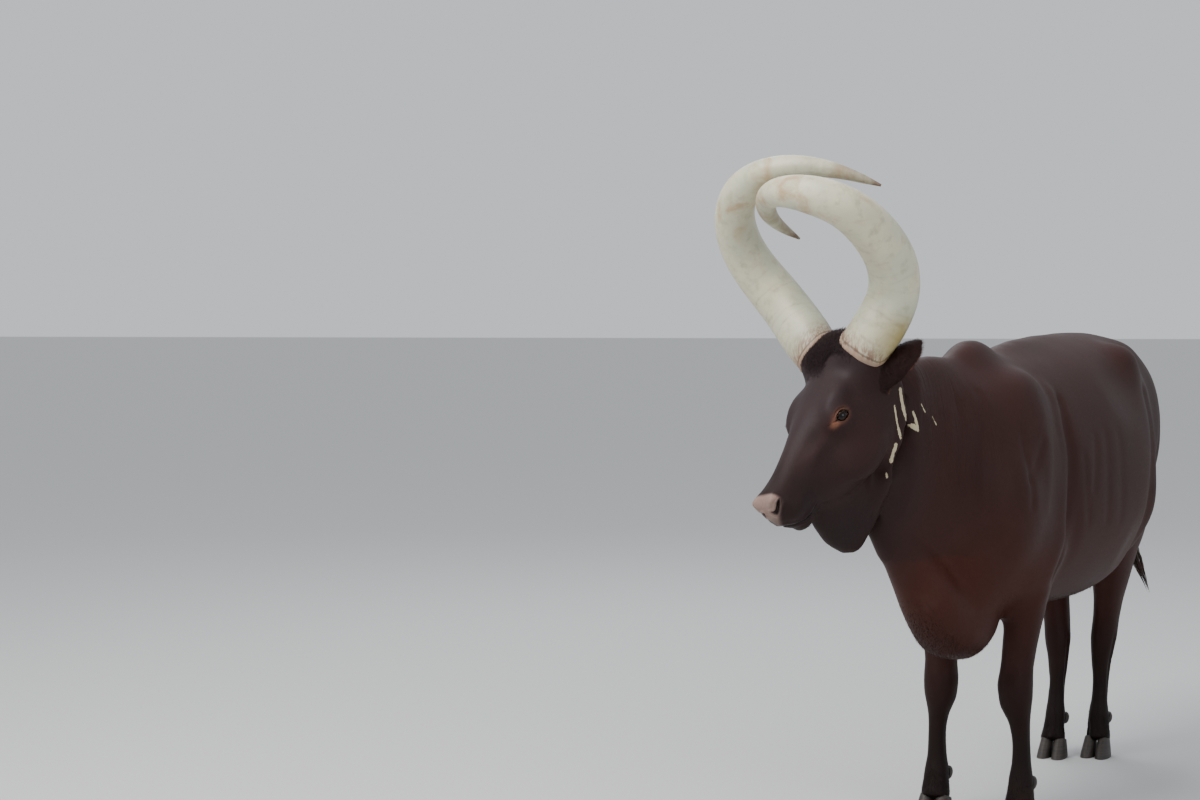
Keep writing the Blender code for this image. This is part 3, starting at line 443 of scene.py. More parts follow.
class Value:
    """A socket that the usual operators work on."""

    def __init__(self, maker, socket):
        self.maker, self.socket = maker, socket

    def __add__(self, other):
        return self.maker.math("ADD", self, other)

    __radd__ = __add__

    def __mul__(self, other):
        return self.maker.math("MULTIPLY", self, other)

    __rmul__ = __mul__

    def __sub__(self, other):
        return self.maker.math("SUBTRACT", self, other)

    def __rsub__(self, other):
        return self.maker.math("SUBTRACT", other, self)

    def other(self, output):
        """Another output of the same node."""
        return Value(self.maker, self.socket.node.outputs[output])

    def step(self, low, high):
        """A smooth step from 0 at low to 1 at high."""
        return self.maker.node("ShaderNodeMapRange", {"interpolation_type": "SMOOTHSTEP"},
                               {"Value": self, "From Min": low, "From Max": high})


class Nodes:
    """Adds nodes to a tree."""

    def __init__(self, tree):
        self.tree = tree

    def node(self, kind, settings=None, inputs=None, output=0):
        """Makes a node, sets it, gives its sockets values or links, and returns one of its outputs."""
        made = self.tree.nodes.new(kind)
        for key, value in (settings or {}).items():
            setattr(made, key, value)
        for key, value in (inputs or {}).items():
            socket = made.inputs[key]
            if isinstance(value, Value):
                self.tree.links.new(value.socket, socket)
            else:
                socket.default_value = value
        return Value(self, made.outputs[output]) if made.outputs else made

    def math(self, operation, a, b):
        return self.node("ShaderNodeMath", {"operation": operation}, {0: a, 1: b})


class Finish(Nodes):
    """One material and its nodes."""

    def __init__(self, name):
        self.material = bpy.data.materials.new(name)
        self.material.use_nodes = True
        super().__init__(self.material.node_tree)
        self.tree.nodes.clear()

    def mix(self, factor, a, b):
        """A colour between two, each a colour or a socket."""
        a, b = (c if isinstance(c, Value) else (*c, 1.0) for c in (a, b))
        return self.node("ShaderNodeMix", {"data_type": "RGBA"}, {0: factor, 6: a, 7: b}, 2)

    def times(self, colour, factor):
        """A colour made lighter or darker by a number."""
        grey = self.node("ShaderNodeCombineColor", {}, {0: factor, 1: factor, 2: factor})
        return self.node("ShaderNodeMix", {"data_type": "RGBA", "blend_type": "MULTIPLY"},
                         {0: 1.0, 6: colour, 7: grey}, 2)

    def place(self, scale=(1.0, 1.0, 1.0), turn=(0.0, 0.0, 0.0)):
        """Object coordinates, stretched and turned."""
        where = self.node("ShaderNodeTexCoord", {}, {}, 3)
        return self.node("ShaderNodeMapping", {}, {"Vector": where, "Scale": scale, "Rotation": turn})

    def attribute(self, name, output=2):
        return self.node("ShaderNodeAttribute", {"attribute_name": name}, {}, output)

    def noise(self, where, scale, detail, roughness, distortion=0.0):
        return self.node("ShaderNodeTexNoise", {}, {"Vector": where, "Scale": scale, "Detail": detail,
                                                    "Roughness": roughness, "Distortion": distortion})

    def bump(self, height, distance, strength, under=None):
        inputs = {"Height": height, "Distance": distance, "Strength": strength}
        if under:
            inputs["Normal"] = under
        return self.node("ShaderNodeBump", {}, inputs)

    def surface(self, **inputs):
        """Ends the material with one Principled shader. Names use _ for a space."""
        shader = self.node("ShaderNodeBsdfPrincipled", {},
                           {key.replace("_", " "): value for key, value in inputs.items()})
        self.node("ShaderNodeOutputMaterial", {}, {"Surface": shader})
        return self.material


class Tree(Nodes):
    """A Geometry Nodes tree with named inputs, given with their defaults."""

    def __init__(self, name, **inputs):
        super().__init__(bpy.data.node_groups.new(name, "GeometryNodeTree"))
        face = self.tree.interface
        face.new_socket("Geometry", in_out="INPUT", socket_type="NodeSocketGeometry")
        face.new_socket("Geometry", in_out="OUTPUT", socket_type="NodeSocketGeometry")
        self.ids = {}
        for label, default in inputs.items():
            kind = {float: "Float", int: "Int"}.get(type(default), "Material")
            socket = face.new_socket(label, in_out="INPUT", socket_type="NodeSocket" + kind)
            if default is not None:
                socket.default_value = default
            self.ids[label] = socket.identifier
        self.given = self.node("NodeGroupInput")

    def vector(self, operation, a, b):
        """Two vectors, or one and the number that scales it."""
        return self.node("ShaderNodeVectorMath", {"operation": operation},
                         {0: a, 3 if operation == "SCALE" else 1: b})

    def xyz(self, x=0.0, y=0.0, z=0.0):
        return self.node("ShaderNodeCombineXYZ", {}, {0: x, 1: y, 2: z})

    def named(self, name, kind="FLOAT_VECTOR"):
        return self.node("GeometryNodeInputNamedAttribute", {"data_type": kind}, {"Name": name})

    def keep(self, geometry, name, value, kind="FLOAT_VECTOR", domain="POINT"):
        """Stores a value in a named attribute."""
        return self.node("GeometryNodeStoreNamedAttribute", {"data_type": kind, "domain": domain},
                         {"Geometry": geometry, "Name": name, "Value": value})

    def random(self, low, high, seed):
        return self.node("FunctionNodeRandomValue", {"data_type": "FLOAT"},
                         {2: low, 3: high, "Seed": seed}, 1)

    def finish(self, geometry):
        drawn = self.node("GeometryNodeSetMaterial", {}, {"Geometry": geometry,
                                                          "Material": self.given.other("Material")})
        self.node("NodeGroupOutput", {}, {0: drawn})
        return self

    def made_of(self, mesh, **values):
        """The plain mesh that the tree makes of a mesh."""
        item = link("source", mesh)
        maker = item.modifiers.new("tree", "NODES")
        maker.node_group = self.tree
        for label, value in values.items():
            maker[self.ids[label]] = value
        return plain_mesh(item)


# Sizes and colours that can be changed

def length(name, description, default):
    return FloatProperty(name=name, description=description, default=default, unit="LENGTH")


def number(name, description, default):
    return IntProperty(name=name, description=description, default=default)


def colour(name, description, default):
    return FloatVectorProperty(name=name, description=description, default=default, subtype="COLOR")


class SkinSettings(bpy.types.PropertyGroup):
    """Skin and its shape."""
    coat_depth: length("Coat depth", "How far the skin lies under the coat", 0.0020)
    body_cell: length("Body cell", "Size of the skin's faces on the body", 0.0105)
    head_cell: length("Head cell", "Size of the skin's faces on the head", 0.0042)
    most: number("Most triangles", "Triangles that the skin is thinned to", 196000)
    brown: colour("Brown", "Main colour of the coat", (0.031, 0.0145, 0.0115))
    red: colour("Red brown", "Brisket, flanks and insides of the legs", (0.058, 0.019, 0.012))
    dark: colour("Dark brown", "Lower legs and the front of the face", (0.012, 0.0075, 0.0072))
    tan: colour("Tan", "Round the eyes and inside the ears", (0.210, 0.085, 0.050))
    nose: colour("Nose", "The bare pad of the nose", (0.290, 0.195, 0.165))


class CoatSettings(bpy.types.PropertyGroup):
    """Short tufts where the coat breaks the form."""
    poll_count: number("Poll tufts", "Tufts between the horns", 6000)
    ear_count: number("Ear tufts", "Tufts on both ears", 9000)
    under_count: number("Underline tufts", "Tufts on brisket, belly, throat and chin", 15000)
    leg_count: number("Leg tufts", "Tufts behind the legs and round the fetlocks", 15500)
    rear_count: number("Rear tufts", "Tufts behind the thighs and on the tail", 9000)
    poll_length: length("Poll length", "Length of a tuft between the horns", 0.013)
    ear_length: length("Ear length", "Length of a tuft on the ears", 0.011)
    body_length: length("Body length", "Length of a tuft elsewhere", 0.013)


class HornSettings(bpy.types.PropertyGroup):
    """Horns."""
    sides: number("Sides", "Faces round a horn", 72)
    rings: number("Rings", "Rings of faces along a horn", 260)
    ridge: length("Ridge", "Height of the growth rings at the base", 0.0007)
    ivory: colour("Ivory", "Main colour of the horns", (0.680, 0.630, 0.450))
    stain: colour("Stain", "Ochre and rust stains", (0.460, 0.290, 0.140))
    tip: colour("Tip", "Colour of the tips", (0.170, 0.110, 0.075))


class SmallSettings(bpy.types.PropertyGroup):
    """Eyes, hooves and the tail's tuft."""
    iris: colour("Iris", "Colour of the iris", (0.015, 0.007, 0.004))
    hoof: colour("Hoof", "Colour of the hooves", (0.024, 0.019, 0.016))
    locks: number("Locks", "Locks in the tail's tuft", 420)
    lock_width: length("Lock width", "Width of a lock", 0.0052)


# Skin: its mesh

def kept_side(mesh, way, room=0.006):
    """The largest part of a mesh on the side of the cut that way points to."""
    work = bmesh.new()
    work.from_mesh(mesh)
    bmesh.ops.bisect_plane(work, geom=[*work.verts, *work.edges, *work.faces],
                           plane_co=CUT_PLACE + way * room, plane_no=way, clear_inner=True)
    left = set(work.verts)
    groups = []
    while left:
        group = [left.pop()]
        for vertex in group:
            for edge in vertex.link_edges:
                near = edge.other_vert(vertex)
                if near in left:
                    left.discard(near)
                    group.append(near)
        groups.append(group)
    groups.sort(key=len)
    bmesh.ops.delete(work, geom=[v for g in groups[:-1] for v in g], context="VERTS")
    return mesh_from(work, "side")


def refined(work, chosen):
    """Splits the faces that hold chosen vertices."""
    edges = {e for v in work.verts if chosen(v.co) for f in v.link_faces for e in f.edges}
    bmesh.ops.subdivide_edges(work, edges=list(edges), cuts=1, use_grid_fill=True)


def horn_plug(side):
    """A short round core in the socket of a horn, so that the skin closes over it."""
    work = bmesh.new()
    bmesh.ops.create_uvsphere(work, u_segments=32, v_segments=20, radius=0.050)
    bmesh.ops.translate(work, verts=work.verts, vec=horn_path(side)[1])
    return mesh_from(work, "plug")


def mouth_at(along):
    """How far out of the face the mouth lies at a place along it."""
    return np.interp(along, *zip(*MOUTH))


def smooth_openings(mesh):
    """Evens out the plain nostrils, mouth and horn sockets of the solids before finer ones are shaped."""
    head = in_head(places_of(mesh))
    weight = np.zeros(len(head))
    for along, out, side in PLAIN_NOSTRIL:
        for sign in SIDES.values():
            weight = np.maximum(weight, 1 - ramp(away_from(head, (along, out, side * sign)), 0.030, 0.042))
    gap = np.abs(head[:, 1] - mouth_at(head[:, 0]))
    weight = np.maximum(weight, (1 - ramp(gap, 0.014, 0.026)) * ramp(head[:, 0], 0.745, 0.765))
    relaxed(mesh, 60, weight)
    co = places_of(mesh)
    weight = np.zeros(len(co))
    for side in SIDES:
        gap = np.min([away_from(co, p) for p in horn_path(side)[:5]], 0)
        weight = np.maximum(weight, 1 - ramp(gap, 0.072, 0.090))
    relaxed(mesh, 14, weight)


def skin_mesh(settings):
    """One closed skin: fine on the head, coarser on the body, and finest round eyes, nose and mouth."""
    plugs = [horn_plug(side) for side in SIDES]
    fine = joined([merged(["head", "neck", *EARS], 0.0012, EARS), *plugs])
    fine = modified(fine, "REMESH", mode="VOXEL", voxel_size=settings.head_cell)
    smooth_openings(fine)
    relaxed(fine, 3)
    coarse = joined([merged(FLESH), *plugs])
    coarse = modified(coarse, "REMESH", mode="VOXEL", voxel_size=settings.body_cell)
    relaxed(coarse, 7)
    work = bmesh.new()
    work.from_mesh(kept_side(fine, CUT_WAY))
    work.from_mesh(kept_side(coarse, -CUT_WAY))
    bmesh.ops.bridge_loops(work, edges=[e for e in work.edges if e.is_boundary])
    eyes, nose, marks = small_forms()
    legs_top, tail_front = ORIGIN.z + 0.56, ORIGIN.y + 1.262

    def close(co, spots, reach):
        return any((co - spot).length < reach for spot in spots)

    refined(work, lambda co: co.z < legs_top or co.y > tail_front)
    refined(work, lambda co: close(co, eyes, 0.048) or close(co, nose, 0.095) or close(co, marks, 0.016))
    refined(work, lambda co: close(co, eyes, 0.034) or (co.y > CUT_PLACE.y and close(co, marks, 0.010)))
    bmesh.ops.triangulate(work, faces=work.faces)
    bmesh.ops.recalc_face_normals(work, faces=work.faces)
    return mesh_from(work, "skin")


def thinned(mesh, most):
    """The same skin with fewer triangles, left as it is round the eyes, nose and flecks."""
    co = places_of(mesh)
    keep = np.zeros(len(co), bool)
    for spots, reach in zip(small_forms(), (0.034, 0.070, 0.009)):
        for spot in spots:
            keep |= away_from(co, spot) < reach
    item = link("thin", mesh)
    group = item.vertex_groups.new(name="free")
    group.add(np.flatnonzero(~keep).tolist(), 1.0, "REPLACE")
    fewer = item.modifiers.new("fewer", "DECIMATE")
    fewer.ratio = most / len(mesh.polygons)
    fewer.vertex_group = group.name
    return plain_mesh(item)


# Skin: its shape

def shape_tail(mesh):
    """Brings the thin tail back to its round form."""
    co = places_of(mesh)
    body = in_body(co)
    path = np.array(spline_through(TAIL_PATH, 61))
    radii = np.interp(np.linspace(0, 5, 61), range(6), TAIL_RADII) - 0.001
    mine = np.nonzero((body[:, 1] > 1.235) & (body[:, 2] < 1.22) & (body[:, 2] > 0.70))[0]
    gap = np.linalg.norm(body[mine][:, None] - path[None], axis=2)
    nearest = gap.argmin(1)
    reach = gap[np.arange(len(mine)), nearest]
    spot = path[nearest]
    way = (body[mine] - spot) / np.maximum(reach, 1e-5)[:, None]
    hold = (1 - ramp(reach, 0.030, 0.045)) * (1 - ramp(body[mine, 2], 1.10, 1.20)) * (nearest < 60)
    target = spot + way * radii[nearest][:, None]
    co[mine] += (target - body[mine]) * hold[:, None]
    set_places(mesh, co)


def shape_pasterns(mesh):
    """Draws the skin of each foot down over the top of its hooves."""
    co = places_of(mesh)
    for foot in FEET:
        claws = claws_of(foot)
        near = np.hypot(co[:, 0] - claws.x, co[:, 1] - claws.y - 0.02) < 0.11
        low = near * (1 - ramp(co[:, 2], 0.050, 0.125))
        centre = co[near & (co[:, 2] < 0.12)].mean(0)
        co[:, 0] += (co[:, 0] - centre[0]) * 0.13 * low
        co[:, 1] += (co[:, 1] - centre[1]) * 0.10 * low
        co[:, 2] -= 0.013 * low
    set_places(mesh, co)


def shape_body(mesh):
    """Folds of the neck, shoulder, flank and brisket, and the cords of the lower legs."""
    co = places_of(mesh)
    normals = normals_of(mesh)
    body = in_body(co)
    push = np.zeros(len(co))
    sideways = ramp(np.abs(normals[:, 0]), 0.10, 0.45) * (body[:, 2] > 0.52)
    for line, half, height in STROKES:
        points = [p.to_2d() for p in spline_through([(*p, 0) for p in line], 4 * len(line))]
        push += height * bell(shortest(body[:, 1:], points), half) * sideways
    for foot in FEET:
        claws = claws_of(foot)
        near = (np.hypot(co[:, 0] - claws.x, co[:, 1] - claws.y - 0.04) < 0.10) \
            * ramp(co[:, 2], 0.13, 0.18) * (1 - ramp(co[:, 2], 0.34, 0.40))
        for place, height in ((0.052, -0.0030), (0.066, 0.0022)):
            push += height * bell(co[:, 1] - claws.y - place, 0.006) * np.abs(normals[:, 0]) * near
    push[in_head(co)[:, 0] > 0.10] = 0
    set_places(mesh, co + normals * push[:, None])


def shape_muzzle(mesh):
    """The line of the mouth with its lips, and the two nostrils."""
    co = places_of(mesh)
    head = in_head(co)
    along, out, side = head.T
    near = along > 0.74
    off = (out - mouth_at(along)) * HEAD_LENGTH
    push = np.zeros(len(co))
    for above, width, height in ((0.0, 0.0017, -0.0048), (0.0065, 0.0050, 0.0022), (-0.0065, 0.0045, 0.0016)):
        push += height * bell(off - above, width) * ramp(along, 0.765, 0.800)
    pits = np.zeros(len(co))
    for sign in SIDES.values():
        path = np.array(spline_through([(a, o, s * sign) for a, o, s in NOSTRIL], 13))
        wide = np.interp(np.linspace(0, 1, 13), *zip(*NOSTRIL_WIDTHS))
        chosen = np.nonzero(near & (side * sign > 0))[0]
        away = np.linalg.norm(head[chosen][:, None, :] - path[None], axis=2) * HEAD_LENGTH
        ratio = (away / wide[None]).min(1)
        pits[chosen] = 1 - ramp(ratio, 0.75, 1.10)
        push[chosen] += -0.0120 * (1 - ramp(ratio, 0.35, 1.05)) + 0.0024 * bell(ratio - 1.45, 0.35)
    push = np.where(near, push, 0.0)
    set_places(mesh, co + normals_of(mesh) * push[:, None])
    # The nostril openings; painting later darkens them as shade
    store(mesh, "pit", pits)


def shape_lids(mesh):
    """Opens the skin over each eyeball, with a rim, a fold above it and the tear corner."""
    co = places_of(mesh)
    for sign in SIDES.values():
        look, long, high = (np.array(a) for a in eye_axes(sign))
        from_eye = co - np.array(eye_middle(sign))
        u, v, w = from_eye @ long, from_eye @ high, from_eye @ look
        near = (w > 0) & (np.hypot(u, v) < 0.045)
        half = np.where(v > 0, LID_UP, LID_DOWN) * np.clip(1 - (u / LID_REACH) ** 2, 0, 1) ** 0.8
        inside = ramp((half - np.abs(v)) / 0.0022, -0.35, 0.75)
        ball = np.sqrt(np.clip(EYE_RADIUS ** 2 - u ** 2 - v ** 2, 0, None))
        lid = np.sqrt(np.clip((EYE_RADIUS + 0.0030) ** 2 - u ** 2 - v ** 2, 0, None))
        cover = 1 - ramp(np.hypot(u / 1.15, v), 0.015, 0.034)
        want = np.maximum(w, lid) * cover + w * (1 - cover)
        want += 0.0012 * bell(np.abs(np.abs(v) - half), 0.0022) * (np.abs(u) < 0.021)
        want -= 0.0022 * bell(v - half - 0.0085, 0.0022) * np.clip(1 - (u / 0.027) ** 2, 0, 1)
        want -= 0.0012 * bell(v + half + 0.0080, 0.0025) * np.clip(1 - (u / 0.024) ** 2, 0, 1)
        want -= 0.0035 * np.exp(-(((u - 0.0215) / 0.0050) ** 2 + ((v + 0.002) / 0.0022) ** 2))
        want = want * (1 - inside) + (ball - 0.0035) * inside
        co = co + np.where(near, want - w, 0.0)[:, None] * look
    set_places(mesh, co)


# Skin: its colours and where the coat grows

def near_ears(co, normals):
    """Which vertices are on the ears, and how far each lies in their openings."""
    ears, inside = np.zeros(len(co)), np.zeros(len(co))
    for name, sign in EARS.items():
        tree = tree_of(merged([name]))
        close = np.array([tree.find_nearest(Vector(p), 0.006)[0] is not None for p in co])
        opening = np.array(FACE * -0.48 + OUT * -0.81 + SIDE * (-0.02 * sign))
        ears += close
        inside += close * ramp(normals @ opening, 0.05, 0.45)
    return np.clip(ears, 0, 1), np.clip(inside, 0, 1)


def head_share(head, body):
    """1 on the head, 0 on the body."""
    return ramp(head[:, 0], -0.10, 0.15) * (1 - ramp(body[:, 1], -0.56, -0.44))


def painted(mesh, settings, ear_inside):
    """Stores the skin's colour with its painted shade and painted sky light, its flecks and folds, and
    returns how bare each vertex is.
    """
    co = places_of(mesh)
    body, head = in_body(co), in_head(co)
    x, _, z = body.T
    along, out, side = head.T
    up = normals_of(mesh)[:, 2]
    is_head = head_share(head, body)
    red, dark, tan = settings.red, settings.dark, settings.tan
    tone = np.tile(np.array(settings.brown), (len(co), 1))

    def blend(*layers):
        nonlocal tone
        for paint, amount in layers:
            tone = tone * (1 - amount[:, None]) + np.array(paint) * amount[:, None]

    front = ramp(out, -0.09, -0.02) * (1 - ramp(along, 0.70, 0.85))
    blend((red, 0.55 * (1 - ramp(z, 0.50, 0.95))),
          (red, 0.75 * falloff(body, (0.05, -0.15, 0.62), (0.30, 0.30, 0.24))),
          (red, 0.60 * (1 - ramp(np.abs(x), 0.06, 0.12)) * (z < 0.75) * (z > 0.40)),
          (dark, 0.80 * (1 - ramp(z, 0.16, 0.50))),
          # Painted sky light: skin on the back that faces up, painted lighter and greyer
          ((0.046, 0.026, 0.025), 0.50 * ramp(up, 0.35, 0.95) * ramp(z, 1.0, 1.2) * (1 - is_head)),
          ((0.024, 0.0145, 0.0145), 0.80 * is_head),
          ((0.028, 0.022, 0.025), 0.80 * is_head * front),
          (dark, 0.55 * is_head * ramp(along, 0.62, 0.80)),
          ((0.036, 0.018, 0.015), 0.60 * falloff(head, (0.42, -0.28, 0.13), (0.20, 0.16, 0.14))),
          # Painted shade in the hollow before the left eye, between it and the ridge of the face
          (dark, 0.55 * falloff(head, (0.56, -0.075, 0.094), (0.12, 0.045, 0.05))),
          # Painted shade on the fold of the throat under the jaw
          (dark, 0.70 * falloff(body, (-0.125, -0.65, 0.84), (0.12, 0.20, 0.13))))
    # Painted shade: skin below the flanks and on the legs darker towards the floor, as the body shades it;
    # the same line tints all the skin redder
    tone = tone * (1 - 0.55 * (1 - ramp(z, 0.35, 0.80)))[:, None] * np.array((1.06, 0.82, 0.80))
    for sign in SIDES.values():
        from_eye = co - np.array(eye_middle(sign))
        _, long, high = (np.array(a) for a in eye_axes(sign))
        u, v = from_eye @ long, from_eye @ high
        near = np.linalg.norm(from_eye, axis=1) < 0.06
        patch = np.exp(-(((u - 0.002) / 0.0255) ** 2 + ((v - 0.001) / 0.0175) ** 2) ** 2.0)
        trail = np.exp(-(((u - 0.027) / 0.012) ** 2 + ((v + 0.006) / 0.009) ** 2) ** 1.5)
        blend((tan, 0.85 * np.clip(0.75 * patch + trail, 0, 1) * near),
              ((0.020, 0.012, 0.010), 0.75 * bell(np.hypot(u / 2.2, v) - 0.0090, 0.0013) * near))
    wide = np.interp(out, (-0.222, -0.200, -0.165, -0.120, -0.060), (0.0, 0.024, 0.044, 0.080, 0.088))
    pad = ramp(along, 0.895, 0.915) * (1 - ramp(np.abs(side) - wide, -0.022, 0.014)) * (out > -0.235) \
        * (1 - ramp(out, -0.060, -0.045))
    from_mouth = (out - mouth_at(along)) * HEAD_LENGTH
    pits = read(mesh.attributes["pit"].data, "value")
    blend((settings.nose, 0.92 * pad * (0.45 + 0.55 * ramp(out, -0.200, -0.130))),
          # Painted shade in the crease of the mouth between the lips
          ((0.012, 0.008, 0.008), 0.9 * bell(from_mouth, 0.0020) * ramp(along, 0.77, 0.80) * is_head),
          # Painted shade deep in the nostrils
          ((0.010, 0.006, 0.006), 0.95 * pits * (along > 0.85)),
          (tan, 0.75 * ear_inside))
    fleck = np.zeros(len(co))
    for line, half in flecks():
        fleck = np.maximum(fleck, np.clip(1.5 - shortest(body, line) / half, 0, 1))
    bare = np.clip(pad + pits + bell(from_mouth, 0.004) * ramp(along, 0.78, 0.80), 0, 1)
    neck = falloff(body, (0.03, -0.44, 1.04), (0.40, 0.24, 0.27))
    store(mesh, "folds", neck * (1 - ramp(along, 0.05, 0.20)))
    store(mesh, "tone", np.concatenate([tone, np.ones((len(co), 1))], 1), "FLOAT_COLOR")
    store(mesh, "fleck", fleck)
    store(mesh, "bare", bare)
    return bare


def combed(mesh, bare, ears):
    """Stores the way the coat lies and where each of its pieces grows."""
    co = places_of(mesh)
    normals = normals_of(mesh)
    body, head = in_body(co), in_head(co)
    _, y, z = body.T
    is_head = head_share(head, body)
    lie = np.tile(np.array([0.0, 0.9, -0.35]), (len(co), 1))
    for way, amount in (((0.0, 0.1, -1.0), 1 - ramp(z, 0.45, 0.70)), (-np.array(FACE), is_head)):
        lie = lie * (1 - amount[:, None]) + np.array(way) * amount[:, None]
    lie[y > 1.24] = np.array([0.05, 0.05, -1.0])
    lie = lie - normals * (lie * normals).sum(1)[:, None]
    lie /= np.maximum(np.linalg.norm(lie, axis=1), 0.05)[:, None]
    store(mesh, "lie", lie, "FLOAT_VECTOR")
    haired = np.clip(1 - 1.2 * bare, 0, 1)
    for side, sign in SIDES.items():
        haired = haired * ramp(away_from(co, eye_middle(sign)), 0.024, 0.034)
        gap = np.min([away_from(co, p) for p in horn_path(side)[:6]], 0)
        haired = haired * ramp(gap, 0.050, 0.056)
    under = 1.3 * falloff(body, (0.0, -0.28, 0.56), (0.22, 0.30, 0.16)) * ramp(-normals[:, 2], 0.25, 0.75)
    under += 0.8 * ramp(-normals[:, 2], 0.80, 0.97) * (z > 0.45) * (z < 0.70) * (y > -0.2)
    under += 0.5 * falloff(head, (0.845, -0.345, 0.0), (0.10, 0.045, 0.07))
    fetlocks = np.zeros(len(co))
    for foot in FEET:
        claws = claws_of(foot)
        fetlocks += falloff(co, (claws.x, claws.y + 0.025, 0.090), (0.07, 0.08, 0.065))
    legs = ramp(normals[:, 1], 0.25, 0.75) * (z < 0.62) * (z > 0.10) * 0.55 + 1.3 * fetlocks
    rear = ramp(normals[:, 1], 0.45, 0.85) * (y > 0.95) * (z > 0.45) * 0.5 + 0.9 * (y > 1.24) * (z < 1.20)
    poll = 1.6 * (falloff(head, (0.05, 0.03, 0.0), (0.22, 0.20, 0.22)) * is_head)
    for name, amount in (("poll", poll), ("ears", ears), ("under", under), ("legs", legs), ("rear", rear)):
        amount = np.clip(amount, 0, 1) * haired
        store(mesh, "grow_" + name, amount * (z > 0.045) if name == "legs" else amount)


def unwrap(mesh):
    """An unwrap in charts: one for each region of the body and each way its faces look."""
    count = len(mesh.polygons)
    centres, ways = read(mesh.polygons, "center", 3), read(mesh.polygons, "normal", 3)
    body, head = in_body(centres), in_head(centres)
    region = np.zeros(count, int)
    region[body[:, 1] < -0.25] = 1
    region[(head[:, 0] > -0.05) & (body[:, 1] < -0.45)] = 2
    for k, (sx, back) in enumerate(((1, False), (-1, False), (1, True), (-1, True))):
        leg = (body[:, 2] < 0.60) & (body[:, 0] * sx > 0) & ((body[:, 1] > 0.45) == back)
        region[leg & ((body[:, 1] > -0.12) | (body[:, 2] < 0.45))] = 3 + k
    region[(body[:, 1] > 1.235)] = 7
    region[(np.abs(head[:, 2]) > 0.20) & (region == 2)] = 8
    axis = np.abs(ways).argmax(1)
    chart = region * 6 + axis * 2 + (ways[np.arange(count), axis] > 0)
    owner = np.repeat(np.arange(count), 3)
    corner = places_of(mesh)[corners_of(mesh)]
    kept = (np.where(axis == 0, 1, 0), np.where(axis == 2, 1, 2))
    uv = np.stack([corner[np.arange(len(corner)), way[owner]] for way in kept], 1)
    cells = 8
    for number_of_chart in np.unique(chart):
        mine = chart[owner] == number_of_chart
        low, high = uv[mine].min(0), uv[mine].max(0)
        cell = np.array([number_of_chart % cells, number_of_chart // cells]) / cells + 0.03 / cells
        uv[mine] = cell + (uv[mine] - low) / max((high - low).max(), 1e-6) * (0.94 / cells)
    store(mesh, "unwrap", uv, "FLOAT2", "CORNER")


def hide_finish():
    """Short brown coat: tone from the skin's attribute, streaks along the lie, flecks behind the jaw."""
    make = Finish("short_brown_coat")
    where = make.place()
    streaks = make.noise(make.place((70.0, 14.0, 30.0)), 5.0, 3.0, 0.6)
    patches = make.noise(where, 5.0, 4.0, 0.55)
    fine = make.noise(where, 420.0, 2.0, 0.5)
    torn = make.noise(where, 55.0, 5.0, 0.65, 0.8)
    bare = make.attribute("bare")
    brown = make.times(make.attribute("tone", 0), 0.62 + patches * 0.42 + streaks * 0.34)
    brown = make.mix(patches.step(0.56, 0.80) * 0.22, brown, (0.085, 0.050, 0.040))
    brown = make.mix((make.attribute("fleck") - torn * 1.35).step(0.06, 0.20), brown, (0.520, 0.440, 0.290))
    bump = make.bump(fine * 0.30 + streaks * 0.70, 0.0012, 0.45)
    leaning = make.node("ShaderNodeMapping", {}, {"Vector": make.place(turn=(0.10, 0.0, 0.0)),
                                                  "Scale": (9.0, 75.0, 5.0)})
    folds = make.noise(leaning, 1.0, 3.0, 0.5, 0.35)
    bump = make.bump(folds * make.attribute("folds"), 0.0100, 0.9, bump)
    pores = make.node("ShaderNodeTexVoronoi", {}, {"Vector": where, "Scale": 260.0})
    bump = make.bump(pores * bare, 0.0010, 0.5, bump)
    return make.surface(Base_Color=brown, Roughness=0.54 + patches * 0.12 - bare * 0.18 - streaks * 0.08,
                        Normal=bump, Specular_IOR_Level=0.15)


class COW_OT_skin(bpy.types.Operator):
    """One skin over the head, ears, neck, trunk, legs and tail"""
    bl_idname = "cow.skin"
    bl_label = "Skin"

    def execute(self, context):
        settings = context.scene.cow_skin
        mesh = skin_mesh(settings)
        relaxed(mesh, 3, np.where(in_head(places_of(mesh))[:, 0] > 0.0, 0.35, 1.0))
        set_places(mesh, places_of(mesh) - normals_of(mesh) * settings.coat_depth)
        shape_tail(mesh)
        shape_pasterns(mesh)
        from_cut = np.abs((places_of(mesh) - np.array(CUT_PLACE)) @ np.array(CUT_WAY))
        relaxed(mesh, 100, 1 - ramp(from_cut, 0.015, 0.055))
        shape_body(mesh)
        shape_muzzle(mesh)
        shape_lids(mesh)
        mesh = thinned(mesh, settings.most)
        ears, ear_inside = near_ears(places_of(mesh), normals_of(mesh))
        combed(mesh, painted(mesh, settings, ear_inside), ears)
        unwrap(mesh)
        piece("skin", mesh, hide_finish(), (*FLESH, *EARS))
        return {"FINISHED"}


# Coat

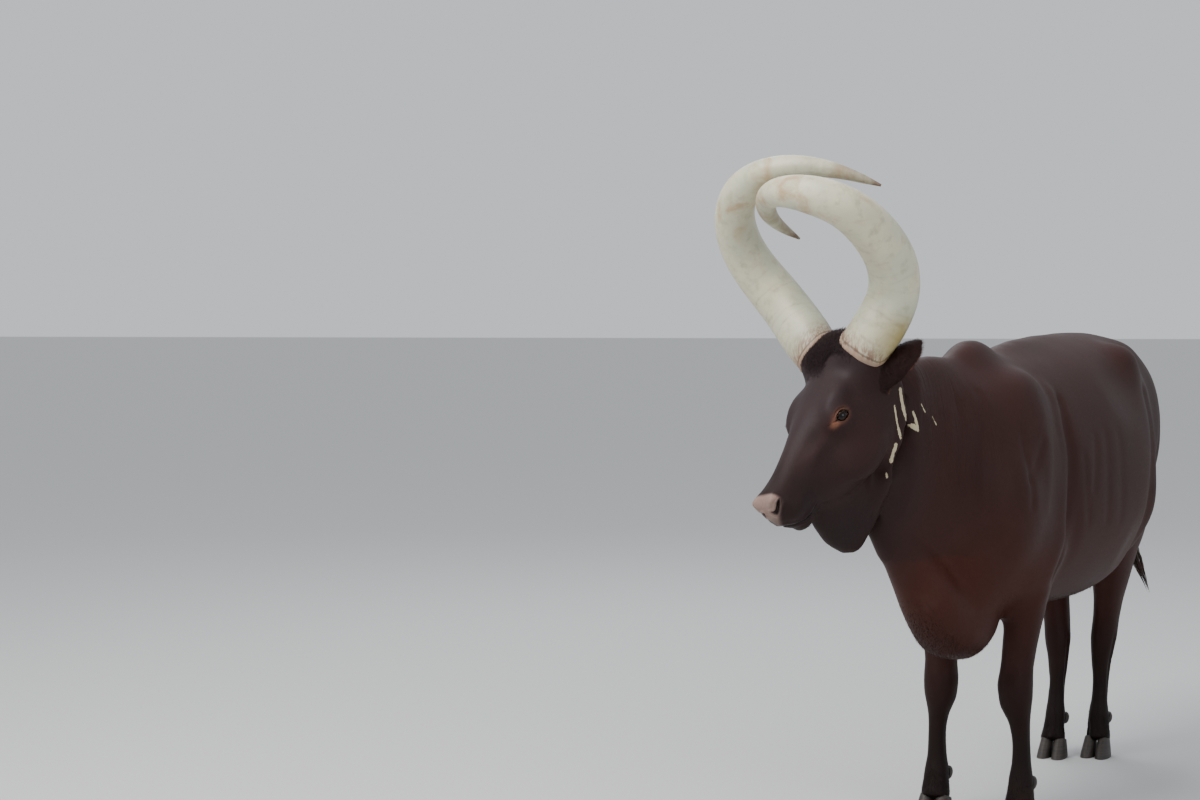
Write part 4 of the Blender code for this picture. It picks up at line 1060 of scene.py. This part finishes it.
def tuft_tree(grow):
    """Tufts over a surface: where the named attribute lets them grow, along the stored lie."""
    tree = Tree("tufts_" + grow, Density=1000.0, Length=0.01, Width=0.002, Lift=0.2, Seed=1, Material=None)
    given = tree.given.other
    points = tree.node("GeometryNodeDistributePointsOnFaces", {"distribute_method": "RANDOM"}, {
        "Mesh": given("Geometry"), "Density": given("Density") * tree.named(grow, "FLOAT"),
        "Seed": given("Seed")})
    normal = points.other("Normal")
    root = tree.keep(points, "root_uv", tree.named("unwrap"))
    stray = tree.vector("ADD", tree.named("lie"), tree.xyz(*(tree.random(-0.28, 0.28, k) for k in (3, 4, 5))))
    way = tree.vector("ADD", stray, tree.vector("SCALE", normal, given("Lift") * tree.random(0.5, 1.5, 6)))
    turned = tree.node("FunctionNodeAlignRotationToVector", {"axis": "Z"}, {"Vector": way})
    turned = tree.node("FunctionNodeAlignRotationToVector", {"axis": "Y", "pivot_axis": "Z"},
                       {"Rotation": turned, "Vector": normal})
    blade = tree.node("GeometryNodeMeshCone", {"fill_type": "TRIANGLE_FAN"},
                      {"Vertices": 3, "Side Segments": 2, "Fill Segments": 1, "Radius Top": 0.0,
                       "Radius Bottom": 0.5, "Depth": 1.0})
    x = tree.node("ShaderNodeSeparateXYZ", {}, {0: tree.node("GeometryNodeInputPosition")})
    y, z = x.other(1), x.other(2)
    bend = tree.math("POWER", z, 2.0) * -0.10
    shape = tree.xyz(x * (1 + z * 1.3 * (1 - z)), y * 0.40 + bend, z - 0.08)
    blade = tree.node("GeometryNodeSetPosition", {}, {"Geometry": blade, "Position": shape})
    flat = tree.vector("MULTIPLY", tree.node("GeometryNodeInputPosition"), (0.0022, 0.0022, 0.0026))
    blade = tree.keep(blade, "spread", flat)
    wide = given("Width") * tree.random(0.7, 1.3, 8)
    size = tree.xyz(wide, wide, given("Length") * tree.random(0.65, 1.25, 7))
    placed = tree.node("GeometryNodeInstanceOnPoints", {}, {"Points": root, "Instance": blade,
                                                            "Rotation": turned, "Scale": size})
    real = tree.node("GeometryNodeRealizeInstances", {}, {"Geometry": placed})
    spread = tree.node("ShaderNodeSeparateXYZ", {}, {0: tree.named("spread")})
    uv = tree.vector("ADD", tree.named("root_uv"), tree.xyz(spread, spread.other(2)))
    return tree.finish(tree.keep(real, "OFBake", uv, "FLOAT2", "CORNER"))


def area_of(mesh, name):
    """Skin area on which a coat grows, in square metres."""
    values = read(mesh.attributes[name].data, "value")
    return float((read(mesh.polygons, "area") * values[corners_of(mesh)].reshape(-1, 3).mean(1)).sum())


class COW_OT_coat(bpy.types.Operator):
    """Short tufts over the skin, longer at the edges of the form"""
    bl_idname = "cow.coat"
    bl_label = "Coat"

    def execute(self, context):
        coat = context.scene.cow_coat
        skin = bpy.data.objects["skin"].data
        for name, grow, count, long, wide, lift, seed in (
                ("coat_poll", "grow_poll", coat.poll_count, coat.poll_length, 0.0012, 0.22, 11),
                ("coat_ears", "grow_ears", coat.ear_count, coat.ear_length, 0.0008, 0.22, 12),
                ("coat_underline", "grow_under", coat.under_count, coat.body_length, 0.0010, 0.14, 13),
                ("coat_legs", "grow_legs", coat.leg_count, coat.body_length * 0.75, 0.0008, 0.12, 14),
                ("coat_rear", "grow_rear", coat.rear_count, coat.body_length, 0.0010, 0.12, 15)):
            mesh = tuft_tree(grow).made_of(
                skin.copy(), Density=count / max(0.001, area_of(skin, grow)), Length=long, Width=wide,
                Lift=lift, Seed=seed, Material=bpy.data.materials["short_brown_coat"])
            for old in ("root_uv", "spread", "unwrap", "lie"):
                if old in mesh.attributes:
                    mesh.attributes.remove(mesh.attributes[old])
            mesh.uv_layers.active = mesh.uv_layers["OFBake"]
            if len(mesh.polygons) < 1000:
                raise RuntimeError(f"{name} has too few tufts")
            piece(name, mesh)
        return {"FINISHED"}


# Horns

def growth_rings(side, metres, turns):
    """How deep the growth rings cut at each place along a horn and round it."""
    rng = np.random.default_rng(5 if side == "left" else 6)
    rings = np.zeros((len(metres), len(turns)))
    at = RINGS_FROM
    while at < RINGS_TO:
        depth = rng.uniform(0.3, 1.0) * (1 - ramp(np.array([at]), 0.16, RINGS_TO)[0])
        reach = np.clip(0.55 + 0.75 * np.cos(turns - rng.uniform(0, 2 * math.pi)), 0, 1)
        shift = 0.004 * np.sin(turns * 2 + rng.uniform(0, 6)) + 0.002 * np.sin(turns * 5 + rng.uniform(0, 6))
        gap = metres[:, None] - at - shift[None]
        rings -= depth * reach[None] * bell(gap, rng.uniform(0.0015, 0.0035))
        at += rng.uniform(0.012, 0.032)
    return rings


def horn_mesh(side, settings, skin):
    """A tapered horn with a rim where it leaves the skin and growth rings that fade towards the tip."""
    path = spline_through(horn_path(side), settings.rings)
    sides, count = settings.sides, len(path)
    metres = np.cumsum([0.0, *((b - a).length for a, b in zip(path, path[1:]))])
    run = metres / metres[-1]
    radii = np.interp(run, *zip(*HORN_TAPER))
    for _ in range(12):
        radii[1:-1] = (radii[:-2] + radii[1:-1] * 2 + radii[2:]) / 4
    turns = 2 * math.pi * np.arange(sides) / sides
    rings = growth_rings(side, metres, turns)
    across = []
    side_way = (path[1] - path[0]).orthogonal().normalized()
    for i in range(count):
        way = (path[min(count - 1, i + 1)] - path[max(0, i - 1)]).normalized()
        side_way = (side_way - way * side_way.dot(way)).normalized()
        across.append((side_way, way.cross(side_way)))
    across = np.array(across)
    radial = across[:, None, 0] * np.cos(turns)[None, :, None] \
        + across[:, None, 1] * np.sin(turns)[None, :, None]
    middle = np.array(path)
    bare = middle[:, None] + radial * radii[:, None, None]
    first = np.zeros(sides)
    for i in np.flatnonzero(metres <= 0.20):
        for k in range(sides):
            spot, facing, _, _ = skin.find_nearest(Vector(bare[i, k]))
            if (Vector(bare[i, k]) - spot).dot(facing) < 0:
                first[k] = metres[i]
    for _ in range(8):
        first = (np.roll(first, 1) + first * 2 + np.roll(first, -1)) / 4
    base = metres[:, None] - first[None]
    wave = 0.010 * np.sin(3 * turns[None] + 4 * run[:, None]) \
        + 0.006 * np.sin(7 * turns[None] + 9 * run[:, None])
    radius = radii[:, None] * (1 + wave) + settings.ridge * rings
    radius = radius + 0.0034 * bell(base - 0.004, 0.0060) - 0.0014 * bell(base - 0.0140, 0.0022)
    verts = (middle[:, None] + radial * radius[..., None]).reshape(-1, 3)
    faces = []
    for start in range(0, (count - 1) * sides, sides):
        for k in range(sides):
            j = (k + 1) % sides
            faces.append((start + k, start + j, start + sides + j, start + sides + k))
    faces += [tuple(reversed(range(sides))), tuple(range((count - 1) * sides, count * sides))]
    mesh = bpy.data.meshes.new("horn")
    mesh.from_pydata(verts.tolist(), [], faces)
    work = bmesh.new()
    work.from_mesh(mesh)
    bmesh.ops.recalc_face_normals(work, faces=work.faces)
    mesh = mesh_from(work, "horn")
    store(mesh, "along", np.repeat(run, sides))
    store(mesh, "ring", -rings.ravel())
    store(mesh, "base", base.ravel())
    store(mesh, "ochre", falloff(in_head(places_of(mesh)), (-0.02, -0.08, 0.27), (0.17, 0.17, 0.17)))
    return mesh


def horn_finish(settings):
    """Ivory with rings near the base, ochre and rust stains, and darker tips."""
    make = Finish("horn_ivory")
    where = make.place()
    along, ring, base = (make.attribute(name) for name in ("along", "ring", "base"))
    clouds = make.noise(where, 6.0, 5.0, 0.6)
    spots = make.noise(where, 34.0, 4.0, 0.62)
    drift = make.noise(make.place(turn=(0.6, 0.3, 0.0)), 11.0, 4.0, 0.6, 0.6)
    scratches = make.noise(make.place((40.0, 40.0, 9.0)), 4.0, 4.0, 0.6, 0.4)
    dull = make.noise(where, 3.2, 3.0, 0.5, 0.3)
    rim = 1 - base.step(0.0085, 0.0120)
    red = (1 - base.step(0.012, 0.075)) * (0.30 + scratches.step(0.40, 0.62) * 0.65)
    crack = base.step(0.0100, 0.0125) * (1 - base.step(0.0150, 0.0180))
    ivory = make.mix(clouds.step(0.35, 0.65), tuple(settings.ivory), (0.560, 0.560, 0.420))
    for amount, paint in (
            (spots.step(0.48, 0.74) * 0.50, (0.360, 0.330, 0.210)),
            (dull.step(0.46, 0.66) * 0.45, (0.380, 0.390, 0.280)),
            (drift.step(0.50, 0.72) * (0.35 + along.step(0.40, 0.60) * 0.45), tuple(settings.stain)),
            (red, (0.230, 0.120, 0.080)),
            (rim * 0.85, (0.330, 0.215, 0.150)),
            (crack * 0.75 + ring * spots * 0.75, (0.120, 0.066, 0.040)),
            (make.attribute("ochre") * (0.45 + clouds * 0.9), (0.330, 0.245, 0.060)),
            (along.step(0.72, 0.93) * 0.55 * drift.step(0.30, 0.60) + along.step(0.90, 0.995) * 0.55,
             tuple(settings.tip))):
        ivory = make.mix(amount, ivory, paint)
    return make.surface(Base_Color=ivory, Roughness=0.40 + spots * 0.18 + rim * 0.12,
                        Normal=make.bump(scratches * 0.45 + spots * 0.55, 0.0010, 0.5))


class COW_OT_horns(bpy.types.Operator):
    """Two long curved horns"""
    bl_idname = "cow.horns"
    bl_label = "Horns"

    def execute(self, context):
        settings = context.scene.cow_horns
        material = horn_finish(settings)
        skin = tree_of(bpy.data.objects["skin"].data)
        for side in SIDES:
            piece(f"horn_{side}_ivory", horn_mesh(side, settings, skin), material, [f"horn_{side}"])
        return {"FINISHED"}


# Eyes

def eye_finish(settings):
    """Dark iris with a wide pupil, a brown white of the eye, and a wet surface."""
    make = Finish("wet_eye")
    away = make.attribute("away")
    ball = make.mix(make.noise(make.place(), 900.0, 3.0, 0.6), tuple(settings.iris), (0.020, 0.010, 0.006))
    ball = make.mix(make.attribute("slit").step(0.9, 1.1), (0.002, 0.002, 0.003), ball)
    ball = make.mix(away.step(0.60, 0.66), ball, (0.006, 0.004, 0.004))
    ball = make.mix(away.step(0.70, 0.80), ball, (0.150, 0.095, 0.075))
    return make.surface(Base_Color=ball, Roughness=0.10, Coat_Weight=0.25, Coat_Roughness=0.03,
                        Specular_IOR_Level=0.15)


class COW_OT_eyes(bpy.types.Operator):
    """Two eyeballs with a raised clear front"""
    bl_idname = "cow.eyes"
    bl_label = "Eyes"

    def execute(self, context):
        material = eye_finish(context.scene.cow_small)
        for side, sign in SIDES.items():
            centre = eye_middle(sign)
            look, long, high = eye_axes(sign)
            turn = Matrix((long, high, look)).transposed()
            if turn.determinant() < 0:
                turn = Matrix((long, -high, look)).transposed()
            work = bmesh.new()
            bmesh.ops.create_uvsphere(work, u_segments=48, v_segments=32, radius=EYE_RADIUS)
            work.transform(Matrix.Translation(centre) @ turn.to_4x4())
            bmesh.ops.recalc_face_normals(work, faces=work.faces)
            mesh = mesh_from(work, "eyeball")
            spot = (places_of(mesh) - np.array(centre)) / EYE_RADIUS
            u, v, w = spot @ np.array(long), spot @ np.array(high), spot @ np.array(look)
            set_places(mesh, places_of(mesh) + spot * (0.0006 * ramp(w, 0.75, 1.0))[:, None])
            store(mesh, "away", np.where(w > 0, np.hypot(u, v), 1.5))
            store(mesh, "slit", np.hypot(u / 0.42, v / 0.24))
            piece(f"eyeball_{side}", mesh, material, [f"eye_{side}"])
        return {"FINISHED"}


# Hooves

def hoof_finish(settings):
    """Dark horn with fine rings round the claw and dusty edges."""
    make = Finish("hoof_horn")
    rings = make.noise(make.place((3.0, 3.0, 90.0)), 2.5, 3.0, 0.5, 0.4)
    dust = make.noise(make.place(), 30.0, 4.0, 0.6)
    horn = make.mix(rings.step(0.35, 0.70), tuple(settings.hoof), (0.042, 0.032, 0.026))
    horn = make.mix(dust.step(0.50, 0.80) * 0.35, horn, (0.100, 0.080, 0.062))
    return make.surface(Base_Color=horn, Roughness=0.46 + dust * 0.2,
                        Normal=make.bump(rings * 0.8 + dust * 0.2, 0.0015, 0.6))


def claw_mesh(name):
    """A hoof claw or dewclaw: rounded, and a hoof claw also narrower at its top and flat below."""
    is_hoof = name.startswith("hoof")
    mesh = merged([name])
    if is_hoof:
        mesh = modified(mesh, "BEVEL", width=0.0022, segments=2, limit_method="ANGLE",
                        angle_limit=math.radians(50))
    mesh = modified(mesh, "SUBSURF", levels=2, render_levels=2, boundary_smooth="ALL")
    low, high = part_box(name)
    co = places_of(mesh)
    co[:, 2] = np.clip(co[:, 2], low.z, None)
    if is_hoof:
        co[:, 2] = np.where(co[:, 2] < low.z + 0.0035, low.z, co[:, 2])
        rise = np.clip((co[:, 2] - low.z) / (high.z - low.z), 0, 1)
        centre = co.mean(0)
        co[:, 0] = centre[0] + (co[:, 0] - centre[0]) * (1 - 0.16 * rise ** 1.6)
        co[:, 1] = centre[1] + (co[:, 1] - centre[1]) * (1 - 0.18 * rise ** 1.4) + 0.004 * rise
    set_places(mesh, co)
    return mesh


class COW_OT_hooves(bpy.types.Operator):
    """Cloven hooves and the dewclaws above them"""
    bl_idname = "cow.hooves"
    bl_label = "Hooves"

    def execute(self, context):
        material = hoof_finish(context.scene.cow_small)
        for kind, name in (("hoof", "claws"), ("dewclaw", "dew_claws")):
            nodes = [f"{kind}_{foot}_{which}" for foot in FEET for which in ("inner", "outer")]
            piece(name, joined([claw_mesh(node) for node in nodes], name), material, nodes)
        return {"FINISHED"}


# Tail tuft and lashes

def lock_tree():
    """Locks along curves: each curve becomes a flat tapered lock."""
    tree = Tree("locks", Width=0.004, Flatness=0.35, Material=None)
    given = tree.given.other
    curves = tree.node("GeometryNodeMeshToCurve", {}, {"Mesh": given("Geometry")})
    place = tree.node("GeometryNodeSplineParameter").other("Factor")
    swell = 0.45 + tree.math("SMOOTH_MIN", place, 0.3) * 1.9
    thick = tree.math("POWER", 1.0 - place, 0.55) * swell * given("Width") + 0.0002
    circle = tree.node("GeometryNodeCurvePrimitiveCircle", {}, {"Resolution": 4, "Radius": 0.5})
    size = tree.xyz(1.0, given("Flatness"), 1.0)
    flat = tree.node("GeometryNodeTransform", {}, {"Geometry": circle, "Scale": size})
    solid = tree.node("GeometryNodeCurveToMesh", {}, {"Curve": curves, "Scale": thick, "Profile Curve": flat,
                                                      "Fill Caps": True})
    return tree.finish(tree.node("GeometryNodeRealizeInstances", {}, {"Geometry": solid}))


def lock_finish():
    """Brown hair, darker in patches, with fine fibres."""
    make = Finish("switch_hair")
    tone = make.noise(make.place(), 22.0, 3.0, 0.5)
    fibre = make.noise(make.place((900.0, 900.0, 30.0)), 1.0, 2.0, 0.5)
    brown = make.mix(tone.step(0.35, 0.70), (0.030, 0.016, 0.012), (0.080, 0.038, 0.024))
    return make.surface(Base_Color=brown, Roughness=0.50 + tone * 0.12,
                        Normal=make.bump(fibre, 0.0008, 0.5))


def locks_from(name, lines, width, flatness, nodes=()):
    """Turns lines of points into one piece of locks, each a small patch of its map."""
    steps = len(lines[0])
    mesh = bpy.data.meshes.new(name)
    mesh.from_pydata([tuple(p) for line in lines for p in line],
                     [(i, i + 1) for i in range(steps * len(lines)) if (i + 1) % steps], [])
    mesh = lock_tree().made_of(mesh, Width=width, Flatness=flatness, Material=lock_finish())
    roots = np.array([line[0] for line in lines])
    span = np.maximum(roots.max(0) - roots.min(0), 1e-4)
    per_lock = len(mesh.vertices) // len(lines)
    owner = np.minimum(np.arange(len(mesh.vertices)) // per_lock, len(lines) - 1)
    cells = math.ceil(math.sqrt(len(lines)))
    corner = np.stack([owner % cells, owner // cells], 1) / cells * 0.95 + 0.02
    step = (places_of(mesh) - roots[owner]) / span.max()
    uv = corner + np.clip(step[:, [0, 2]], -1, 1) * 0.0015
    store(mesh, "OFBake", uv[corners_of(mesh)], "FLOAT2", "CORNER")
    mesh.uv_layers.active = mesh.uv_layers["OFBake"]
    piece(name, mesh, None, nodes)


class COW_OT_switch(bpy.types.Operator):
    """The tuft at the tail's end"""
    bl_idname = "cow.switch"
    bl_label = "Tail tuft"

    def execute(self, context):
        settings = context.scene.cow_small
        middle = spline_through([ORIGIN + Vector(p) for p in (TAIL_PATH[-2], *SWITCH_PATH)], 41)
        rng = np.random.default_rng(21)
        lines = []
        for _ in range(settings.locks):
            start = rng.uniform(0, 1) ** 1.4 * 16
            end = min(40.0, start + rng.uniform(13, 24))
            angle = rng.uniform(0, 2 * math.pi)
            sway = rng.uniform(-0.5, 0.5)
            line = []
            for i in range(8):
                t = i / 7
                spot = start + (end - start) * t
                low = middle[int(spot)].lerp(middle[min(40, int(spot) + 1)], spot - int(spot))
                out = 0.008 + rng.uniform(0.7, 1.1) * 0.017 * math.sin(math.pi * min(1.0, 0.15 + t * 0.95))
                out *= 0.55 + 0.45 * math.sin(math.pi * min(1.0, 0.25 + spot / 46))
                turn = angle + sway * t
                line.append(low + Vector((math.cos(turn), math.sin(turn), 0)) * out)
            lines.append(line)
        locks_from("tail_tuft", lines, settings.lock_width, 0.40, ["tail_switch"])
        return {"FINISHED"}


class COW_OT_lashes(bpy.types.Operator):
    """Lashes of the upper lids"""
    bl_idname = "cow.lashes"
    bl_label = "Lashes"

    def execute(self, context):
        rng = np.random.default_rng(31)
        lines = []
        for sign in SIDES.values():
            look, long, high = eye_axes(sign)
            for k in range(LASHES):
                u = -0.0165 + 0.033 * k / (LASHES - 1) + rng.uniform(-0.0004, 0.0004)
                half = LID_UP * max(0.0, 1 - (u / LID_REACH) ** 2) ** 0.8 + 0.0006
                depth = math.sqrt(max(1e-6, (EYE_RADIUS + 0.0025) ** 2 - u * u - half * half))
                root = eye_middle(sign) + long * u + high * half + look * depth
                reach = rng.uniform(0.010, 0.015)
                lines.append([root + (look * (0.95 * t - 0.10 * t * t) + high * (-0.28 * t + 0.50 * t * t)
                                      + long * (u * 10 * t)) * reach for t in (0, 0.25, 0.5, 0.75, 1)])
        locks_from("lashes", lines, 0.0007, 0.9)
        return {"FINISHED"}


# Stage, lights and camera

class COW_OT_stage(bpy.types.Operator):
    """Pale floor, soft light and the camera"""
    bl_idname = "cow.stage"
    bl_label = "Stage"

    def execute(self, context):
        mesh = bpy.data.meshes.new("floor")
        mesh.from_pydata([(-300, -300, 0), (300, -300, 0), (300, 300, 0), (-300, 300, 0)], [], [(0, 1, 2, 3)])
        mesh.materials.append(Finish("pale_floor").surface(Base_Color=(0.60, 0.60, 0.59, 1.0), Roughness=0.9))
        floor = link("floor", mesh)
        world = bpy.data.worlds.new("soft_sky")
        context.scene.world = world
        world.use_nodes = True
        sky = world.node_tree.nodes["Background"]
        sky.inputs["Color"].default_value = (0.86, 0.90, 0.95, 1.0)
        sky.inputs["Strength"].default_value = 0.80
        for name, place, power, tint in (
                ("key", (-1.8, -3.4, 5.0), 330.0, (1.0, 0.985, 0.96)),
                ("fill", (4.6, -3.4, 3.0), 70.0, (0.95, 0.97, 1.0)),
                ("back", (-2.5, 3.6, 4.6), 80.0, (0.96, 0.98, 1.0))):
            data = bpy.data.lights.new(name, "AREA")
            data.energy, data.size, data.color = power, 3.0, tint
            lamp = link(name, data)
            lamp.location = ORIGIN + Vector(place)
            aim = ORIGIN + Vector((0, 0.2, 0.9)) - lamp.location
            lamp.rotation_euler = aim.to_track_quat("-Z", "Y").to_euler()
        lens = bpy.data.cameras.new("camera")
        lens.lens, lens.sensor_width = 61.5, 36.0
        camera = link("camera", lens)
        camera.location = ORIGIN + Vector((1.673, -5.302, 1.32))
        look = Vector((-0.4692, 0.8824, -0.0341))
        camera.rotation_euler = look.to_track_quat("-Z", "Y").to_euler()
        context.scene.camera = camera
        return {"FINISHED"}


class COW_PT_panel(bpy.types.Panel):
    """Sizes, colours and pieces of the cow"""
    bl_idname = "COW_PT_panel"
    bl_label = "Ankole Watusi Cow"
    bl_space_type = "VIEW_3D"
    bl_region_type = "UI"
    bl_category = "Cow"

    def draw(self, context):
        layout = self.layout
        for group in GROUPS:
            settings = getattr(context.scene, group)
            for key in settings.__annotations__:
                layout.prop(settings, key)
        for operator in OPERATORS:
            layout.operator(operator.bl_idname)


GROUPS = {"cow_skin": SkinSettings, "cow_coat": CoatSettings, "cow_horns": HornSettings,
          "cow_small": SmallSettings}
OPERATORS = (COW_OT_skin, COW_OT_coat, COW_OT_horns, COW_OT_eyes, COW_OT_hooves, COW_OT_switch,
             COW_OT_lashes, COW_OT_stage)
CLASSES = (*GROUPS.values(), *OPERATORS, COW_PT_panel)


def register():
    for item in CLASSES:
        bpy.utils.register_class(item)
    for name, group in GROUPS.items():
        setattr(bpy.types.Scene, name, PointerProperty(type=group))


def unregister():
    for name in GROUPS:
        delattr(bpy.types.Scene, name)
    for item in reversed(CLASSES):
        bpy.utils.unregister_class(item)


def main():
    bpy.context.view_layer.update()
    register()
    bpy.ops.cow.skin()
    bpy.ops.cow.coat()
    bpy.ops.cow.horns()
    bpy.ops.cow.eyes()
    bpy.ops.cow.hooves()
    bpy.ops.cow.switch()
    bpy.ops.cow.lashes()
    bpy.ops.cow.stage()


if __name__ == "__main__":
    main()
